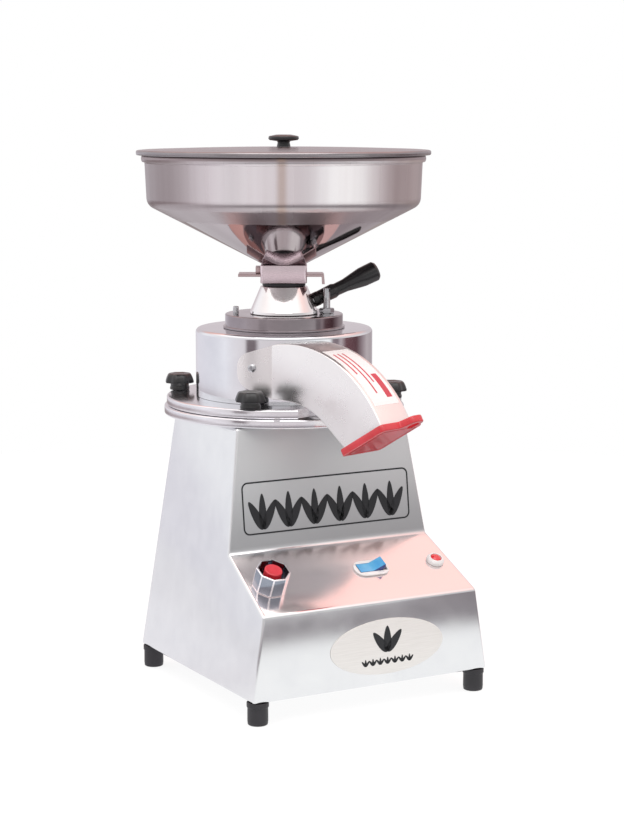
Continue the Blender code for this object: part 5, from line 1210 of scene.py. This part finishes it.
def cap():
    """The moulded cap: a plate with a finger tab, a groove for the duct's edge and a shallow groove that
    traces a rim on its face.
    """
    top, bottom, up, out = mouth()
    across = Vector((0, 1, 0))
    height = (top - bottom).length
    axes = Matrix((across, up, out)).transposed().to_4x4()
    place = SPOUT @ Matrix.Translation(((top + bottom) / 2 + across * SPOUT_WIDTH / 2) * MM) @ axes
    near, far, h = -31.5, 35.5, height / 2 + 5.5
    outline = [
        (near, -h, 6), (far, -h, 6), (far, h, 5), (far - 6, h + 2, 2), (far - 9, h + 15, 8.6),
        (far - 27, h + 15, 8.6), (far - 36, h, 3), (near, h, 6),
    ]
    plate = soften(shape("cap_moulded", slab(outline, -3, 5.5, 8), place), 1.3, 4)
    groove = shape("cap_groove", slab(oblong(52.6, height + 1.95, None, 0, -0.68), -5, 0.3), place)
    cut(groove, shape("cap_core", slab(oblong(48.7, height - 3.3), -6, 1), place))
    cut(plate, groove, rod("cap_hole", 7.5, -20, 20, place @ placed(far - 18, h + 2.5), 64))
    wide, centre = far - near, (far + near) / 2
    rim = shape("cap_rim", slab(oblong(wide - 9, 2 * h - 9, 4, centre), 5.0, 9, 8), place)
    cut(rim, shape("cap_rim_inside", slab(oblong(wide - 13, 2 * h - 13, 3, centre), 0, 12, 8), place))
    cut(plate, rim)
    settle(plate, "red", "outlet_cap", body="outlet_cap")


# Console


def guard():
    """The eight-sided guard, smoked on its outer faces, with a lighter copy of its steel on its edges and
    inside as painted highlights.
    """
    turn = math.pi / 8
    wall = soften(shape("guard_octagon", slab(many_sided(8, 38, turn), 0.3, 25), GUARD), 1.0)
    cut(wall, shape("guard_inside", slab(many_sided(8, 34.4, turn), 2.3, 40), GUARD))
    join(wall, rod("guard_barrel", 10.5, -13, 1.3, GUARD))
    cut(wall, rod("guard_bore", 6.8, -30, 8, GUARD))
    # Painted highlight: the whole guard first gets the lighter copy, which stays on its edges and inside
    settle(wall, "guard_painted_highlight", "overload_guard")
    wall.data.materials.append(finish_named("guard"))
    into = GUARD.inverted()
    for polygon in wall.data.polygons:
        normal = into.to_3x3() @ polygon.normal
        spot = into @ (polygon.center / MM)
        side = math.atan2(normal.y, normal.x) % (math.pi / 4)
        flat = abs(normal.z) < 0.05 and min(side, math.pi / 4 - side) < 0.05
        if flat and normal.x * spot.x + normal.y * spot.y > 0 and spot.z > 1.4:
            polygon.material_index = 1


def push_button():
    outline = [
        (0, -10), (6, -10), (6, 5.8), (11, 5.8, 0.5), (10.9, 16, 0.5), (10.6, 25.9, 1.6), (7, 25.4, 2),
        (0, 25),
    ]
    button = shape("button_moulded", lathe(outline, 72, False), GUARD)
    settle(button, "button", "overload_button", body="overload_button", crease=40)


def rocker():
    window = 2 * (math.hypot(16.5, 8.0) + 0.5)
    body = shape("rocker_surround", slab(oblong(46, 27, 12.5), 0.3, 3.0, 10), ROCKER)
    soften(body, 1.1, 4)
    join(body, shape("rocker_skirt", slab(oblong(window + 2.6, 18.8, 2), -13, 1.5), ROCKER))
    cut(body, shape("rocker_window", slab(oblong(window, 16.2), -11.5, 20), ROCKER))
    settle(body, "white", "rocker_bezel")
    tilt = ROCKER @ turned(-15, "Y") @ turned(90, "X")
    view = [
        (-16.5, 8, 0.8), (-16.5, 3), (-4.5, -4.5, 1), (4.5, -4.5, 1), (16.5, 3), (16.5, 8, 0.8), (0, 3.4, 8),
    ]
    key = soften(shape("rocker_key_moulded", slab(view, -7.6, 7.6), tilt), 0.5)
    settle(key, "blue", "rocker_key", body="rocker_key", crease=40)
    # Painted shade: the key's faces that don't face up get the dark copy of its blue
    key.data.materials.append(finish_named("blue_painted_shade"))
    down = (tilt.to_3x3() @ Vector((0, -1, 0))).normalized()
    for polygon in key.data.polygons:
        if polygon.normal.dot(down) > -0.35:
            polygon.material_index = 1


def lamp():
    outline = [
        (5.3, -14), (7.1, -14), (7.1, 0.3), (11.2, 0.3, 0.3), (11.0, 4.2, 2.8), (8.2, 7.0, 1.3),
        (6.8, 6.2, 0.3), (6.8, 1), (5.3, 1),
    ]
    settle(shape("lamp_ring", lathe(outline, 96), LAMP), "white", "lamp_bezel", crease=40)
    outline = [(0, 1.3), (6.5, 1.3), (6.5, 6.1, 1.5), (3.2, 7.4, 2.5), (0, 7.55)]
    settle(shape("lamp_lens_moulded", lathe(outline, 72, False), LAMP), "lens", "lamp_lens", crease=40)


# Inner pieces keep their solids and get their finish here
INNER_FINISHES = (
    ("stone_carrier", "cast"), ("runner_stone", "stone"), ("upper_stone", "stone"), ("runner_hub", "cast"),
    ("shield", "cast"), ("motor_body", "paint"), ("fan_cowl", "paint"), ("stator", "copper"),
    ("cooling_fan", "black"), ("run_capacitor", "white"), ("floor_plate", "sheet"),
)


def inner_pieces():
    for name, obj in frame["nodes"].items():
        if obj.hide_render:
            continue
        finish = next((finish for words, finish in INNER_FINISHES if words in name), "plain")
        obj.data.materials.clear()
        obj.data.materials.append(finish_named(finish))
        soften(obj, 0.4, 2, 40)


# Stage: what the metal reflects, as colours by direction round the mill, 0 in front and 90 to its right
FLOOR_RADIUS = 1.7
SIDE_BAND_TOP = -0.122
CAMERA_SIDE = math.radians(-29)
LOW_BAND = [
    (-180, "E2DFE6"), (-150, "E6E4EB"), (-131, "E9E8EE"), (-110, "F4F3F8"), (-95, "E8E4E8"),
    (-80, "E0DADD"), (-76, "75696D"), (-66, "75696D"), (-60, "E2DCDE"), (-36, "DCD4D7"), (-10, "E0DADD"),
    (14, "FFFFFF"), (33, "FFFFFF"), (38, "83747A"), (45, "83747A"), (50, "C0B3B6"), (59, "6E4C52"),
    (80, "5F4348"), (95, "9A8B8F"), (108, "BBB0B2"), (125, "ADA2A5"), (150, "C6BEC4"), (180, "E2DFE6"),
]
SIDE_BAND = [
    (-180, "9A8F92"), (-160, "B0A3A6"), (-135, "AEA2A4"), (-110, "CCC3C7"), (-90, "F8F5F9"),
    (-71, "EEECEF"), (-53, "EAE6EA"), (-36, "E4DFE2"), (-22, "DCD3D6"), (-3, "DDDADE"), (10, "FFFFFF"),
    (42, "FFFFFF"), (56, "DCD8DB"), (78, "AFA3A3"), (104, "BAAFAD"), (132, "B0A7A4"), (180, "9A8F92"),
]
LEVEL_BAND = [
    (-180, "D2CACE"), (-168, "E6E3E7"), (-158, "F6F6F9"), (-140, "F8F8FB"), (-112, "F0EFF1"),
    (-80, "E4E1E3"), (-50, "CBC8C9"), (0, "C6C6C6"), (38, "C9C9CA"), (60, "E2DEDE"), (92, "ECE7E8"),
    (118, "D2C9CC"), (140, "CAC1C5"), (180, "D2CACE"),
]
HIGH_BAND = [
    (-180, "E6B4AA"), (-165, "F2D4CE"), (-145, "FFFAF9"), (30, "FFFBFA"), (55, "FFE4DF"), (88, "FBD9D5"),
    (112, "EFCBC6"), (138, "E9C0BA"), (160, "E6B4AA"), (180, "E6B4AA"),
]
FLOOR_NEAR = [
    (-180, "F1EFF3"), (-125, "F1EFF3"), (-90, "EDEAEE"), (-30, "FFFFFF"), (45, "FFFFFF"), (80, "DAD1D3"),
    (120, "A0959A"), (150, "B8AEB3"), (180, "F1EFF3"),
]
FLOOR_FAR = [
    (-180, "EAE8EC"), (-125, "EAE8EC"), (-95, "C2BCC0"), (-60, "8F898D"), (60, "8F898D"),
    (100, "AAA2A6"), (145, "B9B2B6"), (180, "EAE8EC"),
]


def world(strength):
    """Soft surroundings in bands by height, and plain white to the camera."""
    made = bpy.data.worlds.new("studio")
    made.use_nodes = True
    tree = made.node_tree
    tree.nodes.clear()
    x, y, z = separate(tree, node(tree, "ShaderNodeTexCoord").outputs["Generated"])
    side = rise(tree, z, SIDE_BAND_TOP - 0.02, SIDE_BAND_TOP)
    colour = blend(tree, side, band(tree, x, y, SIDE_BAND), band(tree, x, y, LOW_BAND))
    colour = blend(tree, rise(tree, z, -0.01, 0.02), colour, band(tree, x, y, LEVEL_BAND))
    colour = blend(tree, rise(tree, z, 0.28, 0.55), colour, band(tree, x, y, HIGH_BAND))
    strength = math_node(tree, "MULTIPLY_ADD", rise(tree, z, 0.45, 0.75), 0.3 * strength, strength)
    seen = node(tree, "ShaderNodeLightPath").outputs["Is Camera Ray"]
    colour = blend(tree, seen, colour, (1, 1, 1, 1))
    power = node(tree, "ShaderNodeMix", {"Factor": seen, 2: strength, 3: 1.0}).outputs[0]
    background = node(tree, "ShaderNodeBackground", {"Color": colour, "Strength": power})
    node(tree, "ShaderNodeOutputWorld", {"Surface": background.outputs[0]})
    bpy.context.scene.world = made


def floor(strength):
    """A round floor: white with a faint shadow to the camera, and in bands to the metal."""
    made = bpy.data.materials.new("studio_floor")
    made.use_nodes = True
    tree = made.node_tree
    tree.nodes.clear()
    seen = node(tree, "ShaderNodeLightPath").outputs["Is Camera Ray"]
    paper = node(tree, "ShaderNodeBsdfDiffuse", {"Color": srgb("F4F4F4")})
    glow = node(tree, "ShaderNodeEmission", {"Color": (1, 1, 1, 1), "Strength": 1.06})
    shown = node(tree, "ShaderNodeMixShader", {0: 0.8, 1: paper.outputs[0], 2: glow.outputs[0]})
    spot = node(tree, "ShaderNodeTexCoord").outputs["Object"]
    x, y, _ = separate(tree, spot)
    far = rise(tree, vector_node(tree, "LENGTH", spot), 0.6, 0.76)
    colour = blend(tree, far, band(tree, x, y, FLOOR_NEAR), band(tree, x, y, FLOOR_FAR))
    mirrored = node(tree, "ShaderNodeEmission", {"Color": colour, "Strength": strength})
    mixed = node(tree, "ShaderNodeMixShader", {0: seen, 1: mirrored.outputs[0], 2: shown.outputs[0]})
    node(tree, "ShaderNodeOutputMaterial", {"Surface": mixed.outputs[0]})
    bm = bmesh.new()
    bmesh.ops.create_circle(bm, cap_ends=True, segments=128, radius=FLOOR_RADIUS)
    disc = shape("floor", bm, placed(0, SPINDLE_Y, -0.4))
    disc.data.materials.append(made)


def key_light(power):
    """One large soft light, above and in front, to the left."""
    data = bpy.data.lights.new("key_light", "AREA")
    data.shape = "RECTANGLE"
    data.size = data.size_y = 2.4
    data.energy = power
    obj = bpy.data.objects.new("key_light", data)
    bpy.context.scene.collection.objects.link(obj)
    place = Vector((-0.5, -0.9, 2.6))
    obj.location = place
    obj.rotation_euler = (Vector((0, 0, 0.3)) - place).to_track_quat("-Z", "Y").to_euler()


def camera():
    """The photo's own view: from the front left, a little above, through a long lens."""
    data = bpy.data.cameras.new("camera")
    data.lens = 86.54
    data.sensor_width = 36
    data.clip_start, data.clip_end = 0.05, 60
    obj = bpy.data.objects.new("camera", data)
    bpy.context.scene.collection.objects.link(obj)
    obj.location = (-1.1675, -2.1778 + SPINDLE_Y * MM, 0.691)
    obj.rotation_euler = (math.radians(90 - 8.56), 0, CAMERA_SIDE)
    bpy.context.scene.camera = obj


def stage():
    looks = settings()[1]
    world(looks.sky)
    floor(looks.sky)
    key_light(looks.key)
    camera()
    bpy.context.scene.view_settings.view_transform = "Standard"


# Operators, one for each piece or group


class BuildStep:
    """What the operators share: each runs its steps in order."""

    bl_options = {"REGISTER", "UNDO"}

    def execute(self, context):
        for step in self.steps:
            step()
        return {"FINISHED"}


class FLOURMILL_OT_housing(BuildStep, bpy.types.Operator):
    """Add the folded housing with its feet, louvres and cord inlet"""

    bl_idname = "flourmill.housing"
    bl_label = "Housing"
    steps = (housing, louvres, gland, feet)


class FLOURMILL_OT_decoration(BuildStep, bpy.types.Operator):
    """Add the oval plate and the plain printed ornament"""

    bl_idname = "flourmill.decoration"
    bl_label = "Blank plates"
    steps = (decoration,)


class FLOURMILL_OT_deck(BuildStep, bpy.types.Operator):
    """Add the deck plates with their clamp knobs"""

    bl_idname = "flourmill.deck"
    bl_label = "Deck and knobs"
    steps = (deck,)


class FLOURMILL_OT_drum(BuildStep, bpy.types.Operator):
    """Add the grinding drum, its ring and their fasteners"""

    bl_idname = "flourmill.drum"
    bl_label = "Drum and ring"
    steps = (drum, cover_ring, stop_stud, cover_bolt)


class FLOURMILL_OT_adjuster(BuildStep, bpy.types.Operator):
    """Add the adjuster's neck, lever and gasket"""

    bl_idname = "flourmill.adjuster"
    bl_label = "Adjuster"
    steps = (adjuster,)


class FLOURMILL_OT_gate(BuildStep, bpy.types.Operator):
    """Add the grain gate's block and slide"""

    bl_idname = "flourmill.gate"
    bl_label = "Grain gate"
    steps = (gate,)


class FLOURMILL_OT_hopper(BuildStep, bpy.types.Operator):
    """Add the hopper, its lid and the lid's knob"""

    bl_idname = "flourmill.hopper"
    bl_label = "Hopper and lid"
    steps = (hopper, lid, lid_knob)


class FLOURMILL_OT_spout(BuildStep, bpy.types.Operator):
    """Add the spout with its label and screws, and the red cap"""

    bl_idname = "flourmill.spout"
    bl_label = "Spout and cap"
    steps = (spout, label, tab_screws, cap)


class FLOURMILL_OT_console(BuildStep, bpy.types.Operator):
    """Add the guarded push button, the rocker switch and the lamp"""

    bl_idname = "flourmill.console"
    bl_label = "Console controls"
    steps = (guard, push_button, rocker, lamp)


class FLOURMILL_OT_inner(BuildStep, bpy.types.Operator):
    """Finish the motor, the stones and the other pieces inside"""

    bl_idname = "flourmill.inner"
    bl_label = "Inner pieces"
    steps = (inner_pieces,)


class FLOURMILL_OT_stage(BuildStep, bpy.types.Operator):
    """Add the floor, the studio's light and the camera"""

    bl_idname = "flourmill.stage"
    bl_label = "Stage"
    steps = (stage,)


STEPS = (
    FLOURMILL_OT_housing, FLOURMILL_OT_decoration, FLOURMILL_OT_deck, FLOURMILL_OT_drum,
    FLOURMILL_OT_adjuster, FLOURMILL_OT_gate, FLOURMILL_OT_hopper, FLOURMILL_OT_spout,
    FLOURMILL_OT_console, FLOURMILL_OT_inner, FLOURMILL_OT_stage,
)


class FLOURMILL_PT_panel(bpy.types.Panel):
    """The flour mill's settings and its building steps."""

    bl_idname = "FLOURMILL_PT_panel"
    bl_label = "Flour mill"
    bl_space_type = "VIEW_3D"
    bl_region_type = "UI"
    bl_category = "Flour mill"

    def draw(self, context):
        column = self.layout.column()
        for group in (*settings(), context.scene.flour_mill_colours):
            for name in type(group).__annotations__:
                column.prop(group, name)
        for step in STEPS:
            column.operator(step.bl_idname)


CLASSES = (MillBody, MillColours, MillLooks, *STEPS, FLOURMILL_PT_panel)


def register():
    for item in CLASSES:
        bpy.utils.register_class(item)
    bpy.types.Scene.flour_mill_body = bpy.props.PointerProperty(type=MillBody)
    bpy.types.Scene.flour_mill_colours = bpy.props.PointerProperty(type=MillColours)
    bpy.types.Scene.flour_mill_looks = bpy.props.PointerProperty(type=MillLooks)


def unregister():
    del bpy.types.Scene.flour_mill_body
    del bpy.types.Scene.flour_mill_colours
    del bpy.types.Scene.flour_mill_looks
    for item in reversed(CLASSES):
        bpy.utils.unregister_class(item)


def main():
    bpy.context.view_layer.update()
    register()
    for step in (
        bpy.ops.flourmill.housing,
        bpy.ops.flourmill.decoration,
        bpy.ops.flourmill.deck,
        bpy.ops.flourmill.drum,
        bpy.ops.flourmill.adjuster,
        bpy.ops.flourmill.gate,
        bpy.ops.flourmill.hopper,
        bpy.ops.flourmill.spout,
        bpy.ops.flourmill.console,
        bpy.ops.flourmill.inner,
        bpy.ops.flourmill.stage,
    ):
        step()


if __name__ == "__main__":
    main()
